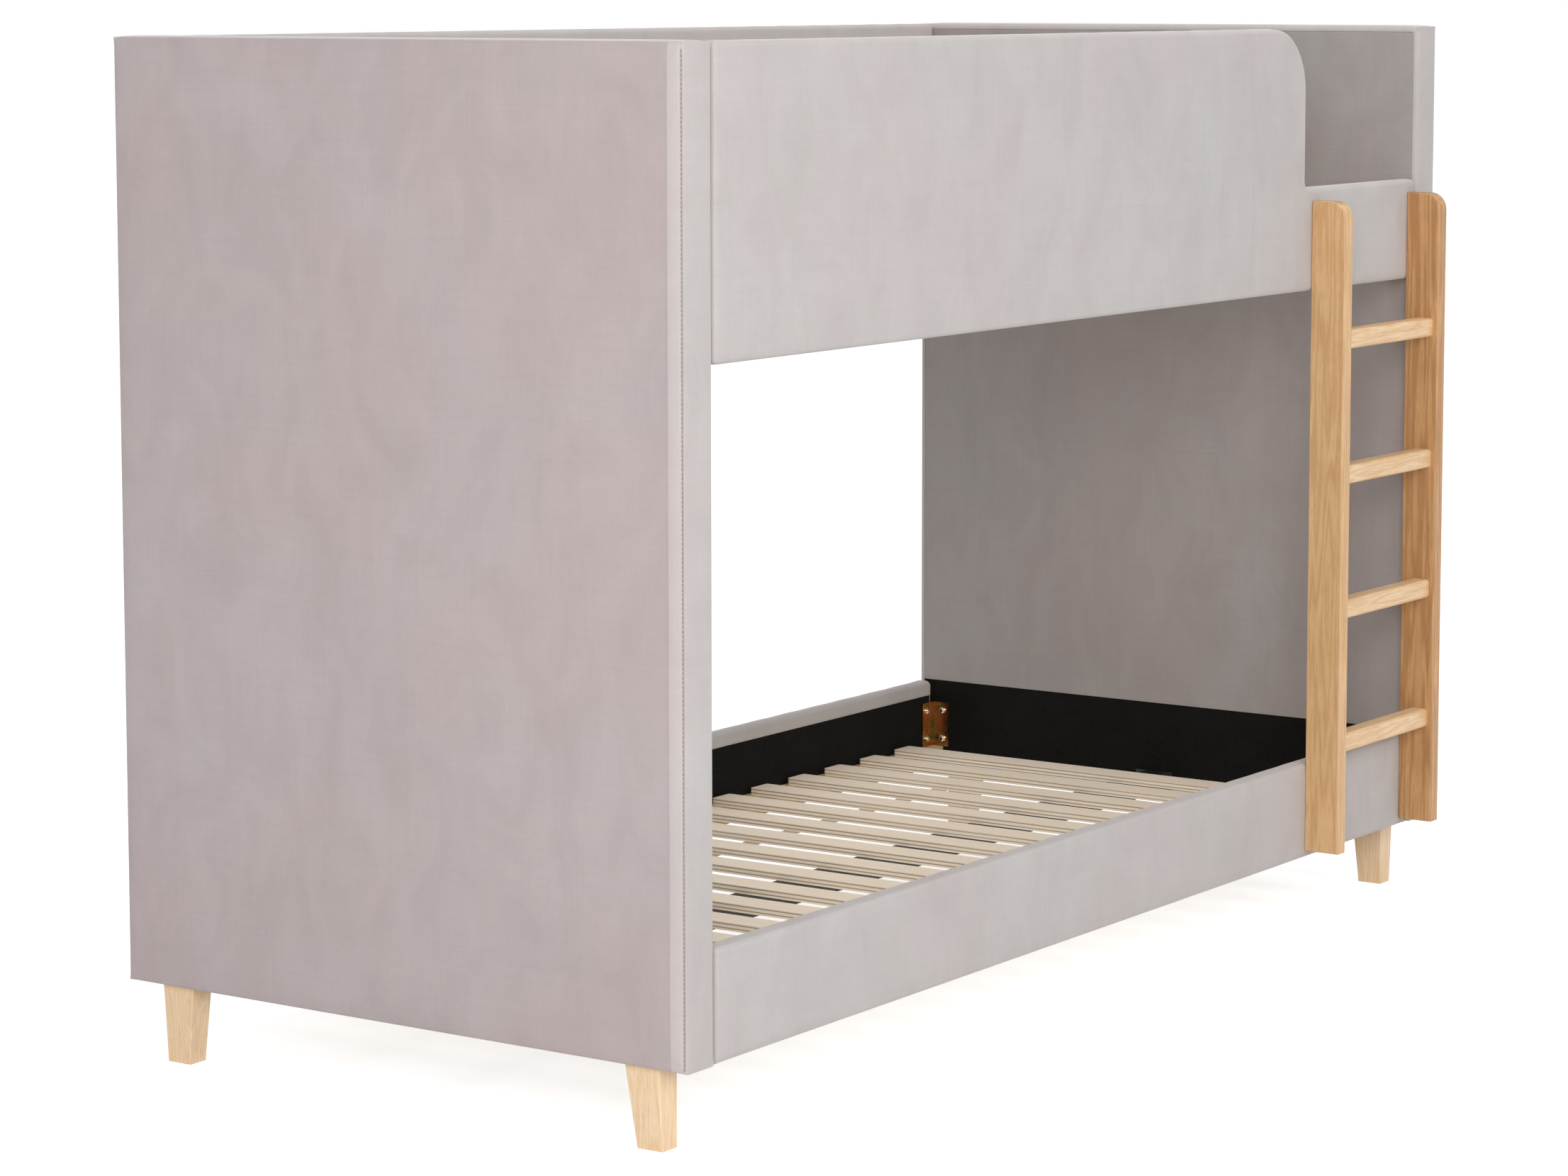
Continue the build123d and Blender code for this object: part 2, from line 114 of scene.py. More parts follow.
def add(tree, kind, inputs=None, output=None, **settings):
    """Add a node: settings go on it, inputs on its sockets by name or number. A socket is linked, a value is set.

    Returns the output asked for, or the node when none is.
    """
    node = tree.nodes.new(kind)
    for name, value in settings.items():
        setattr(node, name, value)
    for name, value in (inputs or {}).items():
        if isinstance(value, bpy.types.NodeSocket):
            tree.links.new(value, node.inputs[name])
        else:
            node.inputs[name].default_value = value
    return node if output is None else node.outputs[output]


def new_material(name):
    """An empty material with its output node; returns the material, its tree and the surface socket."""
    material = bpy.data.materials.new(name)
    material.use_nodes = True
    tree = material.node_tree
    tree.nodes.clear()
    return material, tree, tree.nodes.new("ShaderNodeOutputMaterial").inputs["Surface"]


def object_pattern(tree, cell_mm, detail=2.0, roughness=0.5, distortion=0.0, shift=(0, 0, 0)):
    """Noise from 0 to 1 that sits on the object: cells cell_mm wide along X, Y and Z, moved by shift in metres."""
    scale = [1 / (cell * mm) for cell in cell_mm]
    place = add(tree, "ShaderNodeMapping", {
        "Vector": add(tree, "ShaderNodeTexCoord", output="Object"), "Scale": scale,
        "Location": [s * k for s, k in zip(shift, scale)]}, "Vector")
    return add(tree, "ShaderNodeTexNoise", {
        "Vector": place, "Scale": 1.0, "Detail": detail, "Roughness": roughness, "Distortion": distortion}, "Fac")


def tinted(tree, base, tints):
    """Tints over a base colour. Each is (pattern, low, high, most, colour): its share climbs from 0 to most.

    A colour is a hex value or another finish's colour socket.
    """
    tone = linear(base) if isinstance(base, str) else base
    for pattern, low, high, most, colour in tints:
        share = add(tree, "ShaderNodeMapRange", {
            "Value": pattern, "From Min": low, "From Max": high, "To Max": most}, "Result")
        tint = linear(colour) if isinstance(colour, str) else colour
        tone = add(tree, "ShaderNodeMix", {0: share, 6: tone, 7: tint}, 2, data_type="RGBA")
    return tone


def seen_directly(tree):
    """1 where the camera looks, straight or by way of a mirror or glass, and 0 for the light that falls on things."""
    path = add(tree, "ShaderNodeLightPath")
    seen = add(tree, "ShaderNodeMath", {
        0: path.outputs["Is Camera Ray"], 1: path.outputs["Is Glossy Ray"]}, "Value", operation="MAXIMUM")
    return add(tree, "ShaderNodeMath", {
        0: seen, 1: path.outputs["Is Transmission Ray"]}, "Value", operation="MAXIMUM")


# %% [markdown]
# ## Floor and light
#
# The picture's ground is plain and white. The floor is a wide pale sheet. The world is seen as white, and lights the
# bed with a lower, even level, so that colours come out about as they are written. Large lamps stand at the front
# left, in front and above, as softboxes in a studio do, and the shade under the upper berth stays deep. A little
# glow that only the camera sees keeps the far floor as white as the near one.

# %% Floor, world and lamps
floor_half = 30.0
floor_glow, world_light = 0.62, 0.58
floor_mesh = bpy.data.meshes.new("floor")
floor_mesh.from_pydata([(-floor_half, -floor_half, 0), (floor_half, -floor_half, 0), (floor_half, floor_half, 0),
                        (-floor_half, floor_half, 0)], [], [(0, 1, 2, 3)])
floor = bpy.data.objects.new("floor", floor_mesh)
bpy.context.scene.collection.objects.link(floor)
floor_paint, tree, surface = new_material("matt_white_floor")
lit = add(tree, "ShaderNodeBsdfDiffuse", {"Color": linear("#f0f0f0")}, 0)
strength = add(tree, "ShaderNodeMath", {0: seen_directly(tree), 1: floor_glow}, "Value", operation="MULTIPLY")
glow = add(tree, "ShaderNodeEmission", {"Color": (1, 1, 1, 1), "Strength": strength}, 0)
tree.links.new(add(tree, "ShaderNodeAddShader", {0: lit, 1: glow}, 0), surface)
floor_mesh.materials.append(floor_paint)

world = bpy.data.worlds.new("studio")
world.use_nodes = True
bpy.context.scene.world = world
tree = world.node_tree
tree.nodes.clear()
even_light = add(tree, "ShaderNodeBackground", {"Color": linear("#fbfcff"), "Strength": world_light}, 0)
seen_white = add(tree, "ShaderNodeBackground", {"Color": (1, 1, 1, 1), "Strength": 1.0}, 0)
chosen = add(tree, "ShaderNodeMixShader", {0: seen_directly(tree), 1: even_light, 2: seen_white}, 0)
add(tree, "ShaderNodeOutputWorld", {"Surface": chosen})


def softbox(name, place, target, size, power):
    """A square lamp at place that faces target; power is in watts."""
    lamp_data = bpy.data.lights.new(name, "AREA")
    lamp_data.shape, lamp_data.size, lamp_data.energy = "SQUARE", size, power
    lamp = bpy.data.objects.new(name, lamp_data)
    bpy.context.scene.collection.objects.link(lamp)
    away = np.array(place, float) - np.array(target, float)
    away /= np.linalg.norm(away)
    side = np.cross((0, 0, 1), away)
    side /= np.linalg.norm(side)
    axes = np.eye(4)
    axes[:3, 0], axes[:3, 1], axes[:3, 2], axes[:3, 3] = side, np.cross(away, side), away, place
    lamp.matrix_world = Matrix(axes.tolist())


softbox("left_softbox", (-4.7, -3.3, 2.3), (-0.5, -0.2, 0.6), 2.2, 135)
softbox("front_softbox", (0.6, -5.6, 2.8), (0.2, 0, 0.8), 2.6, 55)
softbox("top_softbox", (0.6, -0.4, 4.6), (0.2, 0, 0.8), 2.4, 45)
bpy.context.scene.view_settings.view_transform = "Standard"

# %% [markdown]
# ## Velvet
#
# The cover is a short-pile polyester velvet in a grey taupe. Its pile is brushed to and fro, so the cloth shows
# soft patches, a hand wide, that lean to grey or to pink and are a little lighter or darker. The ground weave shows
# faintly as crossed threads, drawn 3 mm wide here because the real 0.5 mm would vanish in a picture of a whole bed.
# Sheen gives the pale rim where the pile is seen from the side, as at rolled edges.


# %% Velvet material
def velvet(name, grey, pink, deep):
    """Cloth colour: grey to pink by patches, darkened towards deep by brushed marks, crossed threads and pile."""
    material, tree, surface = new_material(name)
    patches = object_pattern(tree, (260, 260, 340), detail=3.0, roughness=0.55, distortion=0.6)
    brushed = object_pattern(tree, (95, 95, 150), detail=4.0, roughness=0.6, distortion=0.9)
    upright_threads = object_pattern(tree, (3.0, 3.0, 160), detail=1.0)
    level_threads = object_pattern(tree, (130, 130, 3.0), detail=1.0)
    threads = add(tree, "ShaderNodeMath", {0: upright_threads, 1: level_threads}, "Value", operation="ADD")
    pile = object_pattern(tree, (1.6, 1.6, 1.6), roughness=0.7)
    tone = tinted(tree, grey, [(patches, 0.36, 0.64, 1.0, pink), (brushed, 0.38, 0.72, 0.34, deep),
                               (threads, 0.80, 1.20, 0.12, deep), (pile, 0.35, 0.65, 0.10, deep)])
    hollows = add(tree, "ShaderNodeBump", {"Height": brushed, "Distance": 0.9 * mm}, "Normal")
    weave = add(tree, "ShaderNodeBump", {"Height": threads, "Distance": 0.1 * mm, "Normal": hollows}, "Normal")
    fuzz = add(tree, "ShaderNodeBump", {"Height": pile, "Distance": 0.22 * mm, "Normal": weave}, "Normal")
    cloth = add(tree, "ShaderNodeBsdfPrincipled", {
        "Base Color": tone, "Roughness": 0.88, "IOR": 1.45, "Specular IOR Level": 0.25, "Sheen Weight": 0.42,
        "Sheen Roughness": 0.34, "Sheen Tint": linear("#f4eeec"), "Normal": fuzz}, "BSDF")
    tree.links.new(cloth, surface)
    return material


# Painted shade and light: outer faces get a darker, pinker copy, boards a lighter, greyer one; partly the nap.
face_velvet = velvet("velvet_nap_across_painted_shade", "#bcb3b1", "#beafae", "#a59897")
board_velvet = velvet("velvet_nap_upright_painted_light", "#c1bdba", "#c2b9b7", "#aaa4a1")
# Painted highlight: the folded band along the front edge gets a lighter copy of the face velvet.
band_velvet_painted_light = velvet("velvet_over_folded_seam_painted_light", "#cbc3c1", "#ccc1bf", "#b9afad")
# Painted shade: the inner pads get a darker, greyer copy, for the shade inside the bed.
inner_velvet_painted_shade = velvet("velvet_painted_shade_inner", "#a9a4a2", "#aaa09e", "#928b89")

# %% [markdown]
# ## Black lining, thread and webbing
#
# Where a mattress hides the board, upholsterers save velvet and staple on a black non-woven cloth. It is pressed from
# loose fibres, so it has no weave: fibres lie every way and leave small pale flecks.
# The sewing thread is polyester, drawn much darker than the velvet: partly its own colour, partly painted shadow
# where the stitches sink into the pile. The tapes under the slats are woven from undyed cotton.


# %% Lining, thread and webbing materials
def lining_cloth():
    """Black felt: fibres as noise drawn out along each of two directions."""
    material, tree, surface = new_material("black_non_woven")
    one_way = object_pattern(tree, (9, 9, 1.2), distortion=1.5)
    other_way = object_pattern(tree, (1.2, 1.2, 9), distortion=1.5)
    fibres = add(tree, "ShaderNodeMath", {0: one_way, 1: other_way}, "Value", operation="ADD")
    dust = object_pattern(tree, (120, 120, 60), detail=3.0)
    tone = tinted(tree, "#0c0c0b", [(fibres, 0.85, 1.30, 1.0, "#1a1916"), (dust, 0.45, 0.75, 0.35, "#201f1b")])
    felt = add(tree, "ShaderNodeBump", {"Height": fibres, "Distance": 0.25 * mm}, "Normal")
    cloth = add(tree, "ShaderNodeBsdfPrincipled", {
        "Base Color": tone, "Roughness": 0.92, "Specular IOR Level": 0.12, "Sheen Weight": 0.02,
        "Normal": felt}, "BSDF")
    tree.links.new(cloth, surface)
    return material


def sewing_thread():
    """Twisted polyester thread: fine flecks of two greys, 0.6 mm wide."""
    material, tree, surface = new_material("polyester_thread_painted_shadow")
    twist = object_pattern(tree, (0.6, 0.6, 0.6), detail=1.0)
    # Painted shadow: the thread's greys are much darker than the velvet, for the shade of the stitches in the pile.
    tone = tinted(tree, "#857a78", [(twist, 0.35, 0.65, 1.0, "#9c9290")])
    tree.links.new(add(tree, "ShaderNodeBsdfPrincipled", {"Base Color": tone, "Roughness": 0.6}, "BSDF"), surface)
    return material


def cotton_webbing():
    """Plain weave from the tape's own UV map in millimetres: warp and weft crests are sine waves 2.5 mm apart."""
    material, tree, surface = new_material("cotton_webbing")
    place = add(tree, "ShaderNodeUVMap", output="UV", uv_map="tape")
    split = add(tree, "ShaderNodeSeparateXYZ", {"Vector": place})
    weave_pitch = 2.5
    waves = []
    for axis in ("X", "Y"):
        angle = add(tree, "ShaderNodeMath", {0: split.outputs[axis], 1: 2 * math.pi / weave_pitch}, "Value",
                    operation="MULTIPLY")
        waves.append(add(tree, "ShaderNodeMath", {0: angle}, "Value", operation="SINE"))
    crest = add(tree, "ShaderNodeMath", {0: waves[0], 1: waves[1]}, "Value", operation="MULTIPLY")
    # Painted shade: the tone darkens from the weave's crests to its hollows, where the threads dip under.
    tone = tinted(tree, "#b19c82", [(crest, -0.3, 0.6, 1.0, "#efe6d8")])
    woven = add(tree, "ShaderNodeBump", {"Height": crest, "Distance": 0.35 * mm}, "Normal")
    webbing = add(tree, "ShaderNodeBsdfPrincipled", {
        "Base Color": tone, "Roughness": 0.9, "Specular IOR Level": 0.2, "Normal": woven}, "BSDF")
    tree.links.new(webbing, surface)
    return material


black_cloth, thread_and_shadow_finish, webbing_finish = lining_cloth(), sewing_thread(), cotton_webbing()

# %% [markdown]
# ## Wood
#
# All the wood is lightly lacquered. Grain is what is left of the tree's rings: on a sawn board they run as long
# wavering lines along the piece. The pattern here is a noise stretched along the grain, pushed about by a wider
# noise, and cut into rings by a sine wave. Short dark pores lie along the grain. Sawn ends show the rings nearly
# round, and they take in more lacquer, so they are darker.


# %% Wood material
def wood(name, light, dark, along, ring_mm, pore, gloss=0.45, shift=(0, 0, 0)):
    """Rings: sine of a stretched noise times a count; pores: very thin noise; darker ends, by the face's direction.

    along is the grain's axis, 0 to 2, and gloss the roughness between the pores.
    """
    ring_count = 10  # from the noise's lowest value to its highest
    material, tree, surface = new_material(name)
    wide, fine = [ring_mm * 6] * 3, [0.9] * 3
    wide[along], fine[along] = ring_mm * 110, 26
    flow = object_pattern(tree, wide, roughness=0.45, distortion=0.10, shift=shift)
    angle = add(tree, "ShaderNodeMath", {0: flow, 1: 2 * math.pi * ring_count}, "Value", operation="MULTIPLY")
    rings = add(tree, "ShaderNodeMath", {0: angle}, "Value", operation="SINE")
    pores = object_pattern(tree, fine, detail=3.0, roughness=0.65, shift=shift)
    boards = object_pattern(tree, (70, 70, 70))
    facing = add(tree, "ShaderNodeSeparateXYZ", {"Vector": add(tree, "ShaderNodeNewGeometry", output="Normal")}, along)
    sawn_end = add(tree, "ShaderNodeMath", {0: facing}, "Value", operation="ABSOLUTE")
    tone = tinted(tree, light, [
        (rings, -0.6, 1.0, 0.60, dark), (pores, 0.46, 0.74, 0.45, pore),
        (boards, 0.40, 0.65, 0.25, dark), (sawn_end, 0.75, 0.95, 0.45, pore)])
    gleam = add(tree, "ShaderNodeMapRange", {
        "Value": pores, "From Min": 0.3, "From Max": 0.7, "To Min": gloss - 0.05, "To Max": gloss + 0.12}, "Result")
    dents = add(tree, "ShaderNodeBump", {"Height": pores, "Distance": 0.12 * mm}, "Normal")
    lacquer = add(tree, "ShaderNodeBsdfPrincipled", {
        "Base Color": tone, "Roughness": gleam, "Specular IOR Level": 0.45, "Normal": dents}, "BSDF")
    tree.links.new(lacquer, surface)
    return material


stile_oak = wood("lacquered_oak_upright", "#dfb685", "#c69764", 2, 5.0, "#93663c", gloss=0.36)
dark_stile_oak = wood("lacquered_oak_heartwood", "#cf9f6c", "#a3713f", 2, 5.5, "#75492a", gloss=0.36,
                      shift=(0.31, 0.17, 0.53))
rung_oak = wood("lacquered_oak_level", "#eccca2", "#d7ab79", 0, 4.0, "#a87646", gloss=0.36)
leg_ash = wood("lacquered_ash", "#f4d9b6", "#e6c294", 2, 4.0, "#c39562")
frame_pine = wood("planed_pine", "#dcc199", "#c5a06c", 2, 6.0, "#9c7a4b", gloss=0.6)
ledger_pine = wood("planed_pine_level", "#dcc199", "#c5a06c", 0, 6.0, "#9c7a4b", gloss=0.6)

# %% [markdown]
# ## Layered slats
#
# The slats are glued from thin poplar veneers. Seen from above they are plain, with a faint straight grain. Their
# sides show the veneers as fine dark lines, drawn 6 mm apart so that they show.


# %% Slat and board materials
def layered(name, side, face, line, along, layer_mm):
    """Veneer lines: a sine wave in Z with one crest per layer, seen only where the face is upright."""
    material, tree, surface = new_material(name)
    height = add(tree, "ShaderNodeSeparateXYZ", {"Vector": add(tree, "ShaderNodeTexCoord", output="Object")}, "Z")
    facing = add(tree, "ShaderNodeSeparateXYZ", {"Vector": add(tree, "ShaderNodeNewGeometry", output="Normal")}, "Z")
    level = add(tree, "ShaderNodeMath", {0: facing}, "Value", operation="ABSOLUTE")
    long_cells = [1.6, 1.6, 1.6]
    long_cells[along] = 150
    grain = object_pattern(tree, long_cells, detail=3.0, roughness=0.6)
    sawn = object_pattern(tree, (90, 260, 90), detail=1.0)
    tints = object_pattern(tree, (95, 260, 95), detail=1.0)
    phase = add(tree, "ShaderNodeMath", {0: height, 1: 2 * math.pi / (layer_mm * mm)}, "Value", operation="MULTIPLY")
    wander = add(tree, "ShaderNodeMath", {0: sawn, 1: 1.2, 2: phase}, "Value", operation="MULTIPLY_ADD")
    crest = add(tree, "ShaderNodeMath", {0: wander}, "Value", operation="SINE")
    cut = tinted(tree, side, [(crest, 0.2, 0.9, 0.80, line), (grain, 0.45, 0.75, 0.08, line)])
    top = tinted(tree, face, [(grain, 0.45, 0.75, 0.20, line)])
    tone = tinted(tree, cut, [(level, 0.55, 0.85, 1.0, top), (tints, 0.40, 0.65, 0.25, face)])
    fibres = add(tree, "ShaderNodeBump", {"Height": grain, "Distance": 0.1 * mm}, "Normal")
    veneer = add(tree, "ShaderNodeBsdfPrincipled", {
        "Base Color": tone, "Roughness": 0.62, "Specular IOR Level": 0.35, "Normal": fibres}, "BSDF")
    tree.links.new(veneer, surface)
    return material


slat_poplar = layered("glued_poplar_veneer", "#fff1dc", "#fff0da", "#94734d", 1, 6.0)
panel_plywood = layered("poplar_plywood", "#d9bd92", "#cfae7f", "#a27c4e", 0, 1.3)

# %% [markdown]
# ## Steel
#
# The corner angles and bolts are zinc-plated and passivated yellow: a thin chromate film that shows gold, green and
# pink as its thickness changes. The beams are square tube with a black powder coat, whose surface is a fine
# orange-peel.


# %% Steel materials
def passivated_steel(name, rose, gold, olive, smooth):
    """Metal whose colour wanders from rose to gold to olive by noise 9 mm wide, with fine drawing lines."""
    material, tree, surface = new_material(name)
    film = object_pattern(tree, (9, 9, 16), distortion=0.8)
    lines = object_pattern(tree, (0.5, 0.5, 20))
    tone = tinted(tree, rose, [(film, 0.38, 0.48, 1.0, gold), (film, 0.50, 0.60, 1.0, olive)])
    gleam = add(tree, "ShaderNodeMapRange", {
        "Value": lines, "From Min": 0.3, "From Max": 0.7, "To Min": smooth, "To Max": smooth + 0.12}, "Result")
    drawn = add(tree, "ShaderNodeBump", {"Height": lines, "Distance": 0.03 * mm}, "Normal")
    metal = add(tree, "ShaderNodeBsdfPrincipled", {
        "Base Color": tone, "Metallic": 1.0, "Roughness": gleam, "Normal": drawn}, "BSDF")
    tree.links.new(metal, surface)
    return material


def powder_coat():
    """Black polyester powder: satin, with an orange-peel 1.5 mm wide."""
    material, tree, surface = new_material("black_powder_coat")
    peel = object_pattern(tree, (1.5, 1.5, 1.5), detail=1.0)
    scuffs = object_pattern(tree, (60, 60, 60), detail=4.0, roughness=0.7)
    tone = tinted(tree, "#161616", [(scuffs, 0.45, 0.75, 0.6, "#242424")])
    skin = add(tree, "ShaderNodeBump", {"Height": peel, "Distance": 0.05 * mm}, "Normal")
    coat = add(tree, "ShaderNodeBsdfPrincipled", {"Base Color": tone, "Roughness": 0.48, "Normal": skin}, "BSDF")
    tree.links.new(coat, surface)
    return material


angle_zinc = passivated_steel("yellow_passivated_zinc", "#c07c66", "#b98f60", "#7c8450", 0.2)
bolt_zinc = passivated_steel("bright_passivated_zinc", "#dcb9ac", "#d8c6b0", "#c6c0aa", 0.14)
black_coat = powder_coat()

# %% [markdown]
# ## Dress the CAD pieces
#
# Wood and steel have their final shape in the CAD, down to chamfers, tenons and bolt heads, so they only change
# material. Each keeps its name.

# %% Finish for each kept node
panels, berths, sides = ("near", "far"), ("lower", "upper"), ("front", "back")
board_sides = {"lower_front_rail": -1, "lower_back_rail": 1, "upper_front_guard": -1, "upper_back_guard": 1}
finishes = {
    stile_oak: ["ladder_near_stile"],
    dark_stile_oak: ["ladder_far_stile"],
    rung_oak: [f"ladder_rung_{i}" for i in (1, 2, 3, 4)],
    leg_ash: [f"{panel}_{side}_leg" for panel in panels for side in sides],
    frame_pine: [f"{panel}_panel_{piece}" for panel in panels for piece in ("posts", "cross_rails")],
    ledger_pine: [f"{berth}_{side}_ledger" for berth in berths for side in sides]
    + [f"{board}_core" for board in board_sides],
    panel_plywood: [f"{panel}_panel_{piece}_board" for panel in panels for piece in ("inner", "outer")],
    slat_poplar: [f"{berth}_slats" for berth in berths],
    black_coat: [*(f"{berth}_centre_beam" for berth in berths), "beam_hangers"],
    angle_zinc: ["corner_brackets"],
    bolt_zinc: ["hanger_screws", "panel_bolts", "rail_bolts", "bracket_washers", "leg_bolts", "leg_inserts",
                "ladder_bolts", "ladder_washers"],
}
for finish, names in finishes.items():
    for node_name in names:
        slots = nodes[node_name].data.materials
        slots.clear()
        slots.append(finish)
print("CAD pieces finished:", sum(len(names) for names in finishes.values()))

# %% [markdown]
# ## Surfaces on a grid
#
# Every cloth cover is the skin of a flat board. It is laid out on the board's square box first: lines along the
# length, up the height and through the thickness. Then three formulas bend that box into shape: one rounds the
# corners of the outline, one rolls the edges between face and side, and one moves the skin in or out at seams.
# All work on whole arrays. Each board has its own directions: "along", "up" and "out" of the bed.


# %% Grid lines and box skin
def grid_lines(low, high, wide, steps, extra=()):
    """Positions from low to high: at the given distances from both ends, and about `wide` apart between them."""
    near = [low + s for s in steps] + [high - s for s in steps]
    inner_low, inner_high = low + steps[-1], high - steps[-1]
    count = max(2, round((inner_high - inner_low) / wide) + 1)
    middle = [m for m in np.linspace(inner_low, inner_high, count)[1:-1] if all(abs(m - x) > wide / 4 for x in extra)]
    return np.array(sorted({round(float(v), 3) for v in [*near, *middle, *extra]}))


def box_skin(along, up, out, front, back):
    """Quads on a board's box: front cells outside, back cells inside, and a side wall at every edge of the front.

    front and back are grids of true or false per cell. Returns each point's place on the box and the quads.
    """
    rows, deep = len(up), len(out)

    def number(i, j, k):
        return (i * rows + j) * deep + k

    last = deep - 1
    i, j = np.nonzero(front)
    quads = [np.stack([number(i, j, last), number(i + 1, j, last), number(i + 1, j + 1, last),
                       number(i, j + 1, last)], 1)]
    i, j = np.nonzero(back)
    quads.append(np.stack([number(i, j, 0), number(i, j + 1, 0), number(i + 1, j + 1, 0), number(i + 1, j, 0)], 1))
    padded_front = np.pad(front, 1)
    steps = np.arange(last)[None, :]
    for di, dj in ((-1, 0), (1, 0), (0, -1), (0, 1)):
        beyond = padded_front[1 + di:1 + di + front.shape[0], 1 + dj:1 + dj + front.shape[1]]
        i, j = (v[:, None] for v in np.nonzero(front & ~beyond))
        if dj == 0:
            i = i + (di > 0)
            wall = [number(i, j, steps), number(i, j + 1, steps), number(i, j + 1, steps + 1), number(i, j, steps + 1)]
        else:
            j = j + (dj > 0)
            wall = [number(i, j, steps), number(i + 1, j, steps), number(i + 1, j, steps + 1), number(i, j, steps + 1)]
        wall = np.stack(wall, -1).reshape(-1, 4)
        quads.append(wall if (di > 0 or dj < 0) else wall[:, ::-1])
    quads = np.concatenate(quads)
    used, quads = np.unique(quads, return_inverse=True)
    quads = quads.reshape(-1, 4)
    places = np.stack([along[used // (rows * deep)], up[used // deep % rows], out[used % deep]], 1)
    return places, quads


# %% Round the outline and roll the edges
def corner_arcs(corners):
    """For corners (along, up, radius, bulge) in order: the arc's centre and the directions from it to its two ends.

    bulge is 1 where the board's corner sticks out and -1 where the outline turns inwards.
    """
    arcs = []
    for n, (a, b, radius, bulge) in enumerate(corners):
        corner = np.array([a, b], float)
        to_before = np.sign(np.array(corners[n - 1][:2]) - corner)
        to_after = np.sign(np.array(corners[(n + 1) % len(corners)][:2]) - corner)
        arcs.append((corner + radius * (to_before + to_after), -to_after, -to_before, radius, bulge))
    return arcs


def round_outline(flat, corners):
    """Squares to arcs: a point whose larger distance from the arc's centre is m moves in to a distance of m."""
    for centre, start, end, radius, bulge in corner_arcs(corners):
        offset = (flat - centre) * (start + end)
        m, h = offset.max(1), np.maximum(np.hypot(offset[:, 0], offset[:, 1]), 1e-9)
        inside = (offset > 1e-6).all(1) & ((bulge < 0) | (m <= radius + 1e-6))
        share = 1.0 if bulge > 0 else np.clip((radius * 3 - m) / (radius * 2), 0, 1)
        scale = np.where(inside, 1 + (m / h - 1) * share, 1.0)
        flat = centre + (flat - centre) * scale[:, None]
    return flat


def outline_points(corners):
    """The rounded outline as points 1.5 mm apart with the outward direction at each: arcs joined by straight runs."""
    points, outward = [], []
    arcs = corner_arcs(corners)
    angles = np.linspace(0, math.pi / 2, 40)[:, None]
    for n, (centre, start, end, radius, bulge) in enumerate(arcs):
        turn = start * np.cos(angles) + end * np.sin(angles)
        points.append(centre + radius * turn)
        outward.append(turn * bulge)
        next_centre, next_start, _, next_radius, _ = arcs[(n + 1) % len(arcs)]
        here, there = points[-1][-1], next_centre + next_radius * next_start
        run = np.linspace(0, 1, max(3, int(np.linalg.norm(there - here) / 1.5)))[1:-1, None]
        points.append(here + (there - here) * run)
        outward.append(np.repeat(outward[-1][-1:], len(run), 0))
    return np.concatenate(points), np.concatenate(outward)


def inset_and_outward(flat, corners):
    """How far inside the outline each point is, and the direction out of the board there, from its nearest point."""
    edge, outward = outline_points(corners)
    parts = np.array_split(flat, 1 + len(flat) // 800)
    nearest = np.concatenate([((part[:, None, :] - edge[None, :, :]) ** 2).sum(2).argmin(1) for part in parts])
    inset = ((edge[nearest] - flat) * outward[nearest]).sum(1)
    return inset, outward[nearest]


def roll_edges(flat, out, inset, outward, thickness, front_radius, back_radius):
    """Quarter circles between face and side: within the radius of both, the larger depth becomes the distance."""
    for radius, depth, sign in ((front_radius, thickness - out, 1), (back_radius, out, -1)):
        u, v = radius - inset, radius - depth
        near = (u > 0) & (v > 0)
        m, h = np.maximum(u, v), np.maximum(np.hypot(u, v), 1e-9)
        scale = np.where(near, m / h, 1.0)
        flat = flat + outward * np.where(near, u * (scale - 1), 0)[:, None]
        out = out + np.where(near, v * (scale - 1), 0) * sign
    return flat, out


def shaped_skin(places, corners, thickness, front_radius, back_radius):
    """A box skin with its outline rounded and its edges rolled, and each point's inset and outward direction."""
    flat = round_outline(places[:, :2], corners)
    inset, outward = inset_and_outward(flat, corners)
    flat, depth = roll_edges(flat, places[:, 2], inset, outward, thickness, front_radius, back_radius)
    return np.column_stack([flat, depth]), inset, outward


def rectangle(half, low, high, bottom, top):
    """Corners of an upright rectangle, counter-clockwise as seen from outside, with its radii at bottom and top."""
    return [(-half, low, bottom, 1), (half, low, bottom, 1), (half, high, top, 1), (-half, high, top, 1)]


# %% Quads of a sheet, normals, wall thickness and mesh
def sheet_quads(rows, wide):
    """Quads between the points of a grid of rows by wide points."""
    i, j = (v.ravel() for v in np.meshgrid(np.arange(rows - 1), np.arange(wide - 1), indexing="ij"))
    return np.stack([i * wide + j, (i + 1) * wide + j, (i + 1) * wide + j + 1, i * wide + j + 1], 1)


def point_normals(points, quads):
    """Area-weighted mean of the neighbouring quads' cross products."""
    a, b, c, d = (points[quads[:, n]] for n in range(4))
    facing = np.cross(c - a, d - b)
    normals = np.zeros_like(points)
    for n in range(4):
        np.add.at(normals, quads[:, n], facing)
    return normals / np.maximum(np.linalg.norm(normals, axis=1, keepdims=True), 1e-12)


def give_thickness(points, quads, depth):
    """Close an open skin: a second skin moved inwards by depth, and a strip of quads along every open edge."""
    inner = points - point_normals(points, quads) * depth
    count = len(points)
    edges = np.concatenate([quads[:, [n, (n + 1) % 4]] for n in range(4)])
    forward_key, backward_key = edges[:, 0] * count + edges[:, 1], edges[:, 1] * count + edges[:, 0]
    rim = edges[~np.isin(forward_key, backward_key)]
    strip = np.stack([rim[:, 1], rim[:, 0], rim[:, 0] + count, rim[:, 1] + count], 1)
    return np.concatenate([points, inner]), np.concatenate([quads, quads[:, ::-1] + count, strip])


